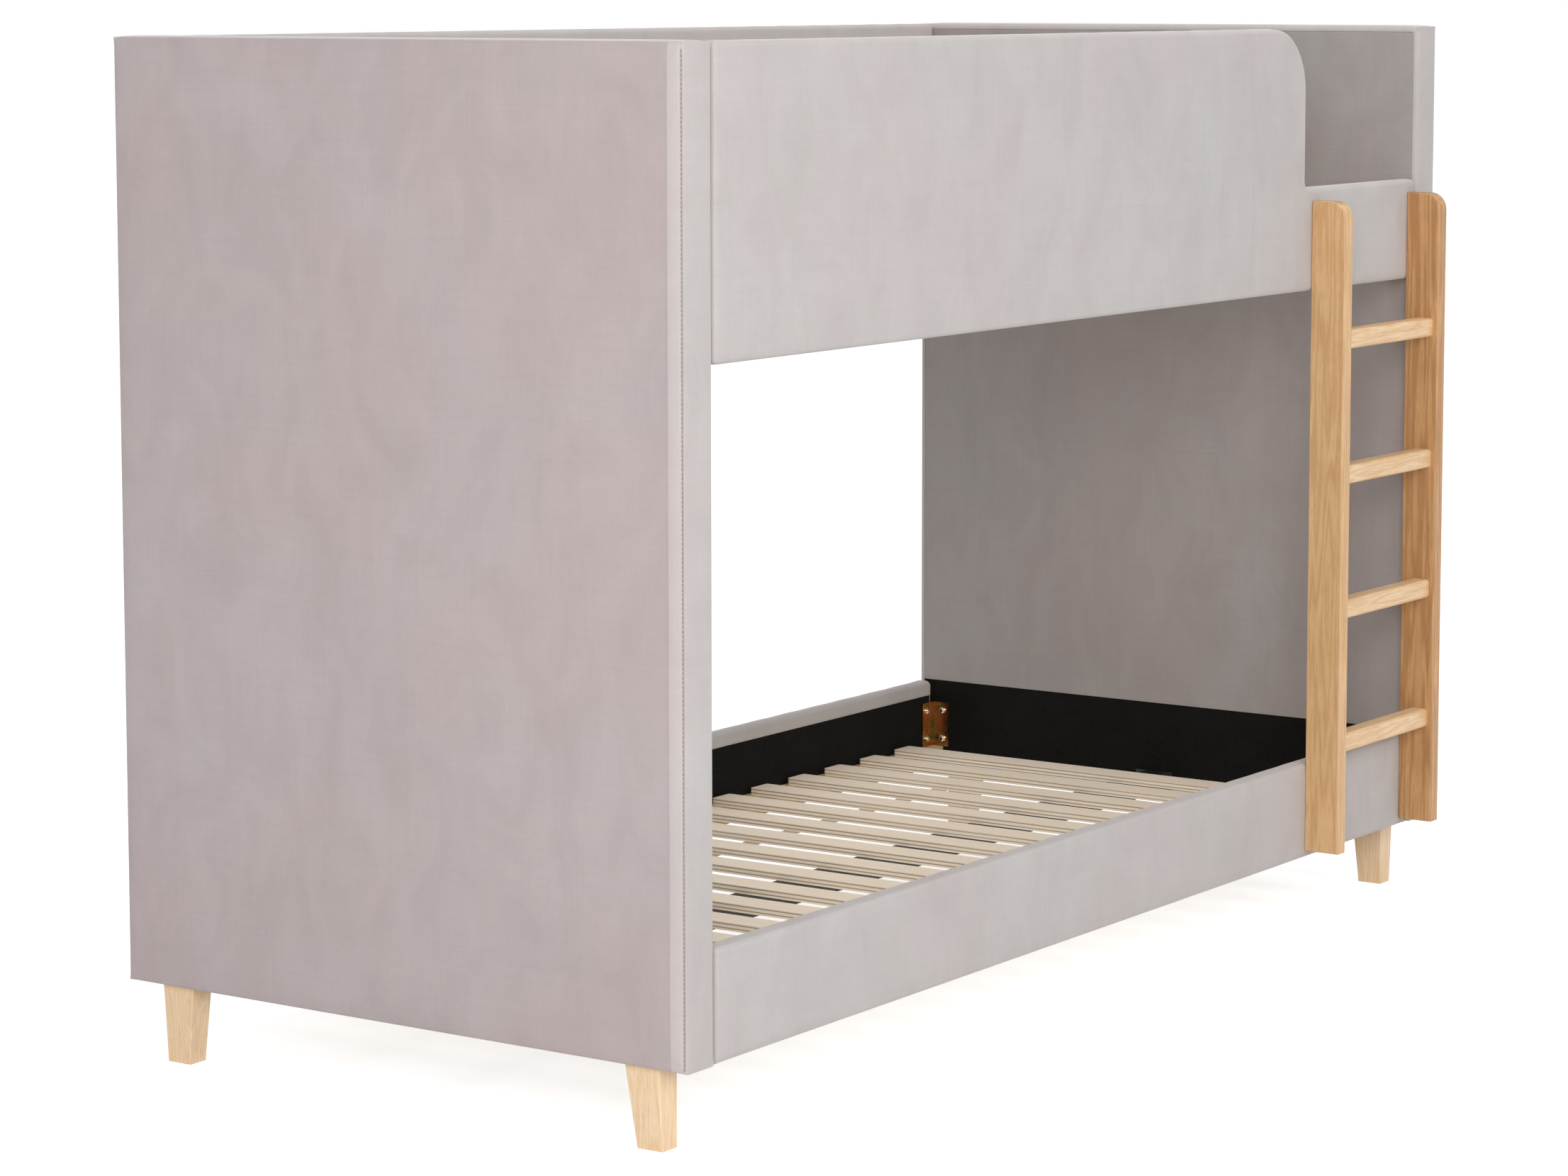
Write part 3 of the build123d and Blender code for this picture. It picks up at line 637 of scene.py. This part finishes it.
def make_piece(name, points, quads, finishes, finish_index=None, levels=render_levels):
    """A smooth mesh object from points in millimetres and quads, with one material number per quad."""
    mesh = bpy.data.meshes.new(name)
    mesh.vertices.add(len(points))
    mesh.vertices.foreach_set("co", (points * mm).astype(np.float32).ravel())
    mesh.loops.add(quads.size)
    mesh.loops.foreach_set("vertex_index", quads.astype(np.int32).ravel())
    mesh.polygons.add(len(quads))
    mesh.polygons.foreach_set("loop_start", np.arange(0, quads.size, 4, dtype=np.int32))
    mesh.polygons.foreach_set("use_smooth", np.ones(len(quads), bool))
    for finish in finishes:
        mesh.materials.append(finish)
    if finish_index is not None:
        mesh.polygons.foreach_set("material_index", finish_index.astype(np.int32))
    mesh.update()
    mesh.validate()
    piece = bpy.data.objects.new(name, mesh)
    bpy.context.scene.collection.objects.link(piece)
    if levels:
        subdivision = piece.modifiers.new("smooth", "SUBSURF")
        subdivision.levels = subdivision.render_levels = levels
    return piece


# %% [markdown]
# ## Cloth pulled over padding
#
# Under the velvet lies a few millimetres of foam, which pushes the cloth out until its weave holds it. Blender's
# cloth solver works that out: the skin is held at its staples and seams, pressed from inside, and runs for twenty
# steps with gravity off. A real cover can't rise further than the foam lets it, so each point's move is capped by a
# smooth limit, and it is nothing where another board or the ladder presses against the cloth.


# %% Cloth simulation
simulated_steps = 20
foam_pressure = 4.0
panel_fullness, board_fullness = 1.6, 1.3  # the most a cover rises, in mm
panel_cloth, board_cloth, lining_depth, tape_depth = 1.7, 1.6, 0.55, 0.8  # thickness of each cloth, in mm


def pressed_out(points, quads, held, limit):
    """How far each point moves when the skin is pressed from inside: d becomes limit * tanh(d / limit), in mm."""
    trial = make_piece("trial_skin", points, quads, [], levels=0)
    group = trial.vertex_groups.new(name="held")
    for weight in np.unique(held):
        group.add(np.nonzero(held == weight)[0].tolist(), float(weight), "REPLACE")
    cloth = trial.modifiers.new("cloth", "CLOTH")
    cloth.settings.quality = 5
    cloth.settings.mass = 0.3
    cloth.settings.tension_stiffness = cloth.settings.compression_stiffness = 30
    cloth.settings.shear_stiffness = 10
    cloth.settings.bending_stiffness = 1.0
    cloth.settings.use_pressure = True
    cloth.settings.uniform_pressure_force = foam_pressure
    cloth.settings.vertex_group_mass = "held"
    cloth.settings.effector_weights.gravity = 0
    scene = bpy.context.scene
    for step in range(1, simulated_steps + 1):
        scene.frame_set(step)
    settled = trial.evaluated_get(bpy.context.evaluated_depsgraph_get())
    moved = np.zeros(len(points) * 3, np.float32)
    settled.data.vertices.foreach_get("co", moved)
    move = moved.reshape(-1, 3) / mm - points
    trial_mesh = trial.data
    bpy.data.objects.remove(trial)
    bpy.data.meshes.remove(trial_mesh)
    scene.frame_set(1)
    size = np.maximum(np.linalg.norm(move, axis=1, keepdims=True), 1e-9)
    return move / size * limit * np.tanh(size / limit)


def wave(position, lengths, seed):
    """A sum of sine waves of the given lengths in mm, with starting points drawn from a seed; about -1 to 1."""
    starts = np.random.default_rng(seed).uniform(0, 2 * math.pi, len(lengths))
    return sum(np.sin(2 * math.pi * position / length + start) for length, start in zip(lengths, starts)) / len(lengths)


def bump_at(distance, width):
    """A bell of height 1 at distance 0: exp(-(distance / width) squared)."""
    return np.exp(-(distance / width) ** 2)


# %% [markdown]
# ## The end panels' covers
#
# One piece of velvet covers the tall outer face. A narrow strip, the boxing, runs round the edges, and turns a
# finger's width onto the inner face. The two meet in a seam right on the outer edge. At the front edge its spare
# cloth is folded under the outer face and topstitched, so there is a band two fingers wide, a little proud, with a row
# of stitches beside the edge; the band's velvet is a lighter copy, a painted highlight. The outer face's pile lies
# across and looks pinker and darker, the boxing's lies upright and looks greyer and lighter: partly the nap, and
# partly painted shade on the outer face and painted light on the boxing, for how the light falls on each.

# %% Panel sizes, from the CAD boxes
near_low, near_high = box_mm("near_panel_cover")
face_low = box_mm("near_panel_upper_face")[0]
panel_thickness = near_high[0] - near_low[0]
panel_half_width = (near_high[1] - near_low[1]) / 2
panel_centre_y = (near_high[1] + near_low[1]) / 2
lip = face_low[1] - near_low[1]
inner_face_x = near_high[0]
panel_corner, outer_edge, inner_edge = 12.0, 6.0, 9.0
band_width = 25.0
seam_inset, seam_depth, seam_width = 3.4, 1.2, 1.4
edge_steps = (0, 1.5, 3, 4.5, 6.5, lip, 14, 19, band_width, 28, 36)
print("panel thickness, half width, lip:", [round(float(v), 1) for v in (panel_thickness, panel_half_width, lip)])


# %% A panel's cover
def panel_cover(name, side, seed):
    """Tray of velvet over one end panel; side is -1 for the near panel and 1 for the far one.

    On the face the skin rises along its normal by a ridge at the seam, less a groove beside it, plus the folded band
    as the difference of two tanh steps, plus slow waves that begin 60 mm inside the edge. Seam and band are full
    at the front edge, by the square of the outward direction's share along it, and faint elsewhere.
    """
    low, high = near_low[2], near_high[2]
    along = grid_lines(-panel_half_width, panel_half_width, 22, edge_steps)
    up = grid_lines(low, high, 22, edge_steps)
    out = np.array([0, 1.5, 3, 5, 7, 9, 14, 22, 32.5, 45, 53, 59, 61, 62.4, 63.7, panel_thickness])
    front = np.ones((len(along) - 1, len(up) - 1), bool)
    middle_a, middle_b = (along[:-1] + along[1:]) / 2, (up[:-1] + up[1:]) / 2
    back = (np.abs(middle_a)[:, None] > panel_half_width - lip) | (np.abs(middle_b - (low + high) / 2)[None, :]
                                                                   > (high - low) / 2 - lip)
    places, quads = box_skin(along, up, out, front, back)
    corners = rectangle(panel_half_width, low, high, panel_corner, panel_corner)
    local, inset, outward = shaped_skin(places, corners, panel_thickness, outer_edge, inner_edge)

    on_face = places[:, 2] > panel_thickness - 0.1
    from_seam = np.where(on_face, inset, places[:, 2] - panel_thickness)
    under = places[:, 1] < low + 0.1
    held = np.where((places[:, 2] < 9.1) | (np.abs(from_seam) < 3.5) | under, 1.0, 0.0)
    move = pressed_out(local, quads, held, panel_fullness)
    local = local + move * (~under)[:, None]

    ripple = wave(places[:, 0] + places[:, 1], (61, 37, 23), seed)
    normals = point_normals(local, quads)
    at_front = np.clip(-side * outward[:, 0], 0, 1) ** 2
    ridge = bump_at(from_seam - 0.3, 1.3)
    groove = (seam_depth + 0.4 * ripple) * bump_at(from_seam - seam_inset, seam_width)
    seam = (ridge - groove) * (0.12 + 0.88 * at_front)
    band = 1.1 * (np.tanh((from_seam - 5.0) / 1.2) - np.tanh((from_seam - band_width - 0.8 * ripple) / 1.4)) / 2
    band = band * at_front
    waves = 0.5 * wave(places[:, 0] + 0.31 * places[:, 1], (310, 190, 126), seed + 1) * wave(
        places[:, 1] - 0.22 * places[:, 0], (420, 233, 151), seed + 2)
    fullness = np.clip(from_seam / 60, 0, 1) * on_face * waves
    rise = np.where(on_face, seam + band * (from_seam > 0), ridge * (from_seam > -6))
    rise = rise + fullness
    rise[under & ~on_face] = 0
    local = local + normals * rise[:, None]

    outer_face = places[quads][:, :, 2].min(1) > panel_thickness - 0.1
    # The band's quads take the lighter band velvet: a painted highlight along the front edge.
    banded = outer_face & ((-side * places[:, 0])[quads].min(1) > panel_half_width - band_width - 0.1)
    index = np.where(banded, 2, np.where(outer_face, 0, 1))
    local, quads = give_thickness(local, quads, panel_cloth)
    index = np.concatenate([index, index, np.ones(len(quads) - 2 * len(index), int)])
    turned = np.column_stack([side * (inner_face_x * -1 + local[:, 2]),
                              panel_centre_y + side * local[:, 0], local[:, 1]])
    return make_piece(name, turned, quads, [face_velvet, board_velvet, band_velvet_painted_light], index)


panel_covers = {}
for panel, side, seed in zip(panels, (-1, 1), (11, 23)):
    panel_covers[panel] = panel_cover(f"{panel}_panel_velvet_cover", side, seed)
    print(panel, "panel cover points:", len(panel_covers[panel].data.vertices))

# %% [markdown]
# ## The inner faces
#
# Inside the lip, velvet over thin fleece covers the panel between the berths and above the upper one. Each of these
# is a flat pad, two millimetres thick, with a rolled edge that makes a fine seam against the lip. It lies still
# where the rails' ends meet it, and is a little fuller elsewhere.


# %% Pads on the panels' inner faces
def inner_pad(name, node, side, top_radius, seed):
    """Flat pad in a CAD node's box with rolled edges; fullness up to 1.2 mm away from its edges."""
    low, high = box_mm(node)
    half, deep = (high[1] - low[1]) / 2, high[0] - low[0]
    steps = (0, 0.8, 1.8, 4, top_radius, 14, 30)
    along, up = grid_lines(-half, half, 26, steps), grid_lines(low[2], high[2], 26, steps)
    out = np.array([0, 0.9, deep])
    cells = np.ones((len(along) - 1, len(up) - 1), bool)
    places, quads = box_skin(along, up, out, cells, cells)
    corners = rectangle(half, low[2], high[2], 0.8, top_radius)
    local, inset, _ = shaped_skin(places, corners, deep, 1.4, 0.1)
    on_face = places[:, 2] > deep - 0.1
    clear_of_rails = np.clip((half - 24 - np.abs(places[:, 0])) / 40, 0, 1)
    full = np.clip(inset / 60, 0, 1) * clear_of_rails
    texture = 1 + 0.35 * wave(places[:, 0] + 0.4 * places[:, 1], (330, 210), seed) + 0.25 * wave(
        places[:, 1], (270, 160), seed + 1)
    depth = local[:, 2] + on_face * 0.9 * full * texture
    x = side * (-inner_face_x + deep - depth)
    turned = np.column_stack([x, panel_centre_y - side * local[:, 0], local[:, 1]])
    # The pad's darker velvet is painted shade.
    return make_piece(name, turned, quads, [inner_velvet_painted_shade])


inner_pads = {}
for panel, side in zip(panels, (-1, 1)):
    for level, top_radius, seed in (("lower", 0.9, 31), ("upper", 8.0, 37)):
        node = f"{panel}_panel_{level}_face"
        inner_pads[node] = inner_pad(f"{panel}_panel_{level}_velvet_pad", node, side, top_radius, seed + side)

# %% [markdown]
# ## Rails and guards
#
# A rail is one board wrapped once in velvet: over the outside, round the ends and both long edges, and down the
# inside as a flap that ends above the black lining. The front guard is the same with a stepped outline: high along the
# mattress, a large round corner, and low at the ladder, where the inner corner is small and tight.
# Where the board's padding stops below its top edge, the cloth dips a little and shows a faint crease.

# %% Outlines of the four boards
rail_low, rail_high = box_mm("lower_front_rail_cover")
guard_low, guard_high = box_mm("upper_front_guard_cover")
lining_low, lining_high = box_mm("lower_front_rail_lining")
board_end = rail_high[0]
board_thickness = rail_high[1] - rail_low[1]
lining_end, lining_rise, lining_top = lining_high[0], lining_low[2] - rail_low[2], lining_high[2] - rail_low[2]
gate_top = 1202.0
gate_start = 622.0
small_corner, guard_corner, tight_corner, long_edge = 10.0, 100.0, 10.0, 8.0
end_gap = 3.0  # how far the velvet at a board's end stays off the panel
stile_boxes = [box_mm(f"ladder_{which}_stile") for which in panels]
stile_middles = [round(float(low[0] + high[0]) / 2, 2) for low, high in stile_boxes]
stile_half = round(float(stile_boxes[0][1][0] - stile_boxes[0][0][0]) / 2, 2)
print("stiles' middles and half width:", stile_middles, stile_half)
board_steps = (0, 1.5, 3.2, 5, 7, small_corner, 14, 20, 30)


def board_outline(low, high, stepped):
    """A rectangle, or one with the gate cut out at the far end: a tight inner corner and a large round outer one."""
    corners = rectangle(board_end, low, high, small_corner, small_corner)
    if stepped:
        corners[2:3] = [(board_end, gate_top, small_corner, 1), (gate_start, gate_top, tight_corner, -1),
                        (gate_start, high, guard_corner, 1)]
    return corners


# %% A board's velvet cover
def board_cover(name, side, low, high, stepped, seed):
    """Velvet round a board; side is -1 for the front, where out is -Y, and 1 for the back.

    On the face the skin rises by slow waves that begin 50 mm inside the edge, less a crease 12 mm inside it, and by
    a fold 9 mm from each end. All of it fades where the board meets a panel and where the ladder's stiles stand.
    """
    extra_a, extra_b = [-lining_end, lining_end], [low + lining_rise, low + lining_top]
    if stepped:
        corner_steps = (0, 1.5, 3.2, 5, 7, 10, 14, 20, 30, 42, 55, 68, 80, 90, 100)
        extra_a += [gate_start - s for s in corner_steps] + [gate_start + s for s in board_steps[:8]]
        extra_b += [gate_top - s for s in board_steps[:8]] + [gate_top + s for s in (2, 5, 10, 16, 30)]
        extra_b += [high - s for s in corner_steps]
    along = grid_lines(-board_end, board_end, 22, board_steps, extra_a)
    up = grid_lines(low, high, 18, board_steps, extra_b)
    out = np.array([0, 1.5, 3.2, 5, 8, 14, 20, 23, 24.8, 26.5, board_thickness])
    middle_a, middle_b = ((v[:-1] + v[1:]) / 2 for v in (along, up))
    front = np.ones((len(middle_a), len(middle_b)), bool)
    if stepped:
        front = (middle_a[:, None] < gate_start) | (middle_b[None, :] < gate_top)
    lined = (np.abs(middle_a)[:, None] < lining_end) & (middle_b[None, :] > low + lining_rise) & (
        middle_b[None, :] < low + lining_top)
    places, quads = box_skin(along, up, out, front, front & ~lined)
    corners = board_outline(low, high, stepped)
    local, inset, _ = shaped_skin(places, corners, board_thickness, long_edge, long_edge)

    on_face = places[:, 2] > board_thickness - 0.1
    on_back = places[:, 2] < 0.1
    at_end = np.clip((board_end - np.abs(places[:, 0])) / 12, 0, 1)
    held = np.where((places[:, 2] < 8.1) | (at_end < 0.5), 1.0, 0.0)
    move = pressed_out(local, quads, held, board_fullness)
    free = at_end.copy()
    if side < 0:
        for stile_middle in stile_middles:
            free *= np.clip((np.abs(places[:, 0] - stile_middle) - stile_half - 1) / 12, 0, 1)
    under = np.clip((places[:, 1] - low) / 12, 0, 1)
    local = local + move * (free * under)[:, None]

    normals = point_normals(local, quads)
    ripple = wave(places[:, 0], (173, 97, 59), seed)
    waves = wave(places[:, 0] + 0.3 * places[:, 1], (460, 270, 180), seed + 1) * (
        1 + 0.4 * wave(places[:, 1], (240, 150), seed + 2))
    crease = -(0.45 + 0.25 * ripple) * bump_at(inset - 12 - 1.2 * ripple, 2.2)
    rise = on_face * (0.45 * waves * np.clip(inset / 50, 0, 1) + crease * (places[:, 1] > low + 60))
    fold = 0.5 * bump_at(board_end - np.abs(places[:, 0]) - 9, 3) * (on_face | on_back)
    local = local + normals * ((rise + 0.5 * fold) * free)[:, None]

    local[:, 0] *= 1 - end_gap / board_end
    near_top = np.clip((places[:, 1] - (places[:, 1].max() - 30)) / 30, 0, 1)
    local[:, 1] += 0.5 * wave(places[:, 0], (88, 47, 29), seed + 3) * near_top * free
    local, quads = give_thickness(local, quads, board_cloth)
    inner_y = (rail_high[1] if side < 0 else 2 * panel_centre_y - rail_high[1])
    turned = np.column_stack([-side * local[:, 0], inner_y + side * local[:, 2], local[:, 1]])
    # Rails and guards take the lighter board velvet, partly painted light.
    return make_piece(name, turned, quads, [board_velvet])


board_covers = {}
for (board_name, side), seed in zip(board_sides.items(), (41, 47, 53, 59)):
    low, high = (rail_low, rail_high) if "rail" in board_name else (guard_low, guard_high)
    stepped = board_name == "upper_front_guard"
    board_covers[board_name] = board_cover(f"{board_name}_velvet", side, low[2], high[2], stepped, seed)
    print(board_name, "cover points:", len(board_covers[board_name].data.vertices))

# %% [markdown]
# ## Black lining
#
# The linings are thin flat cloths stapled to the boards inside the mattress's space. They are cut, not hemmed, and lie
# nearly flat, with slight waves between the staples at their upper edge.


# %% Lining cloths
def lining_sheet(name, low, high, axis, facing, seed):
    """Cloth over a box's face that looks along axis (0 or 1) in the direction facing; waves die out at its edges."""
    other = 1 - axis
    across = grid_lines(low[other], high[other], 24, (0, 3, 9))
    rise = grid_lines(low[2], high[2], 16, (0, 3, 9))
    a, b = np.meshgrid(across, rise, indexing="ij")
    surface = high[axis] if facing > 0 else low[axis]
    edge = np.minimum(np.minimum(a - across[0], across[-1] - a), np.minimum(b - rise[0], rise[-1] - b))
    depth = 0.35 * np.clip(edge / 9, 0, 1) * (1 + wave(a + 0.2 * b, (140, 83, 57), seed)) / 2
    points = np.zeros((a.size, 3))
    points[:, other], points[:, 2] = a.ravel(), b.ravel()
    points[:, axis] = surface - facing * 0.4 + facing * depth.ravel()
    quads = sheet_quads(len(across), len(rise))
    if (facing > 0) == (axis == 1):
        quads = quads[:, ::-1]
    points, quads = give_thickness(points, quads, lining_depth)
    return make_piece(name, points, quads, [black_cloth], levels=0)


linings = {}
for board_name, side in board_sides.items():
    low, high = box_mm(f"{board_name}_lining")
    linings[f"{board_name}_black_lining"] = (
        lining_sheet(f"{board_name}_black_lining", low, high, 1, -side, 61), f"{board_name}_lining",
        (high[0] - low[0], high[2] - low[2]), f"{board_name}_core")
for panel, side in zip(panels, (-1, 1)):
    low, high = box_mm(f"{panel}_panel_linings")
    lower_top, upper_bottom = box_mm(f"{panel}_panel_lower_face")[0][2], guard_low[2]
    for level, bottom, top in (("lower", low[2], lower_top), ("upper", upper_bottom, high[2])):
        part_low, part_high = low.copy(), high.copy()
        part_low[2], part_high[2] = bottom, top
        name = f"{panel}_panel_{level}_black_lining"
        linings[name] = (lining_sheet(name, part_low, part_high, 0, -side, 67), f"{panel}_panel_linings",
                         (high[1] - low[1], top - bottom), f"{panel}_panel_inner_board")

# %% [markdown]
# ## Webbing under the slats
#
# Two tapes are stapled under each row of slats and keep them at their distance. Between two slats a tape sags by a
# millimetre or so. Its weave needs a map of the flat tape, in millimetres.

# %% Slats' places, from their node's mesh
slat_node = nodes["lower_slats"]
slat_points = np.zeros(len(slat_node.data.vertices) * 3, np.float32)
slat_node.data.vertices.foreach_get("co", slat_points)
slat_x = slat_points.reshape(-1, 3)[:, 0] / mm
slat_count, slat_width = 17, 50.0
slat_middles = np.linspace(slat_x.min() + slat_width / 2, slat_x.max() - slat_width / 2, slat_count)
print("slat pitch in mm:", round(float(slat_middles[1] - slat_middles[0]), 2))


# %% Tapes
def tape(name, level, middle_y, seed):
    """Ribbon under the slats: flat where a slat holds it, and sagging as half a sine wave between two slats."""
    low, high = box_mm(f"{level}_slat_tapes")
    width, top = 30.0, high[2]
    along = np.unique(np.concatenate([np.linspace(m - slat_width / 2, m + slat_width / 2, 5) for m in slat_middles]
                                     + [np.linspace(a + slat_width / 2, b - slat_width / 2, 9)
                                        for a, b in zip(slat_middles[:-1], slat_middles[1:])]).round(3))
    across = np.array([-width / 2, -width / 2 + 1, -5, 5, width / 2 - 1, width / 2])
    pitch = slat_middles[1] - slat_middles[0]
    from_middle = np.abs((along - slat_middles[0] + pitch / 2) % pitch - pitch / 2)
    between = np.clip((from_middle - slat_width / 2) / (pitch / 2 - slat_width / 2), 0, 1)
    sag = (1.6 + 0.7 * wave(along, (700, 410), seed)) * np.sin(between * math.pi / 2)
    a, c = np.meshgrid(along, across, indexing="ij")
    curl = 0.12 * (c / width * 2) ** 2
    points = np.column_stack([a.ravel(), middle_y + c.ravel(), (top - 0.1 - sag[:, None] - curl).ravel()])
    quads = sheet_quads(len(along), len(across))
    flat_map = np.column_stack([a.ravel(), c.ravel()])
    points, quads = give_thickness(points, quads, tape_depth)
    piece = make_piece(name, points, quads, [webbing_finish], levels=0)
    layer = piece.data.uv_layers.new(name="tape")
    corners = np.zeros(len(piece.data.loops), np.int32)
    piece.data.loops.foreach_get("vertex_index", corners)
    layer.data.foreach_set("uv", flat_map[corners % len(flat_map)].astype(np.float32).ravel())
    return piece, (width, float(along[-1] - along[0]))


tapes = {}
for level in berths:
    low, high = box_mm(f"{level}_slat_tapes")
    for row, middle_y, seed in (("front", low[1] + 15, 71), ("back", high[1] - 15, 73)):
        tapes[f"{level}_{row}_webbing"] = (*tape(f"{level}_{row}_webbing", level, middle_y, seed), level)

# %% [markdown]
# ## Topstitching
#
# A row of stitches follows the front edge of each panel's outer face, 3.4 mm inside it. One stitch is a short thread
# that rises from the cloth, runs 4 mm and dives in again. It is made once as a small bent tube and repeated upwards,
# so it has few faces.


# %% Stitches along a panel's front edge
def stitch_row(name, side):
    """Bent six-sided tubes one above the other; each tube's middle line is half an ellipse."""
    pitch, length, radius = 6.0, 4.4, 0.7
    low, high = near_low[2] + 5, near_high[2] - 5
    count = int((high - low) / pitch)
    rings, sides = 5, 6
    t = np.linspace(0, 1, rings)[None, :, None]
    turn = np.linspace(0, 2 * math.pi, sides, endpoint=False)[None, None, :]
    up = low + pitch * np.arange(count)[:, None, None] + length * t + 0 * turn
    across = -side * (panel_half_width - seam_inset) - radius * np.cos(turn) + 0 * up
    out = 0.75 * np.sqrt(np.clip(1 - (2 * t - 1) ** 2, 0, 1)) - 0.25 + radius * np.sin(turn) + 0 * up
    n, r, s = (v.ravel() for v in np.meshgrid(np.arange(count), np.arange(rings - 1), np.arange(sides), indexing="ij"))
    first, second = n * rings * sides + r * sides + s, n * rings * sides + r * sides + (s + 1) % sides
    quads = np.stack([first, first + sides, second + sides, second], 1)
    caps = []
    for ring, order in ((0, 1), (rings - 1, -1)):
        base = np.arange(count)[:, None] * rings * sides + ring * sides
        caps += [(base + np.array([0, 1, 2, 3]))[:, ::order], (base + np.array([0, 3, 4, 5]))[:, ::order]]
    quads = np.concatenate([quads, *caps])
    x = side * (-inner_face_x + panel_thickness + out.ravel())
    turned = np.column_stack([x, panel_centre_y + side * across.ravel(), up.ravel()])
    print(name, "stitches:", count)
    return make_piece(name, turned, quads, [thread_and_shadow_finish], levels=0)


stitches = [stitch_row(f"{panel}_panel_topstitching", side) for panel, side in zip(panels, (-1, 1))]

# %% [markdown]
# ## Hand the pieces to the frame
#
# The bed has no moving joint, so everything rides on the one body. Each new cover, pad, lining and tape hides the
# CAD node that it stands for.

# %% Riding and replacing
velvet_pieces = [(piece, f"{panel}_panel_cover") for panel, piece in panel_covers.items()]
velvet_pieces += [(piece, node) for node, piece in inner_pads.items()]
velvet_pieces += [(piece, f"{board_name}_cover") for board_name, piece in board_covers.items()]
for piece, node in velvet_pieces:
    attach(piece, "root")
    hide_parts(node)
for piece in stitches:
    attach(piece, "root")
for piece, node, cut, carrier in linings.values():
    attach(piece, "root")
    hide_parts(node)
for piece, cut, level in tapes.values():
    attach(piece, "root")
    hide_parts(f"{level}_slat_tapes")
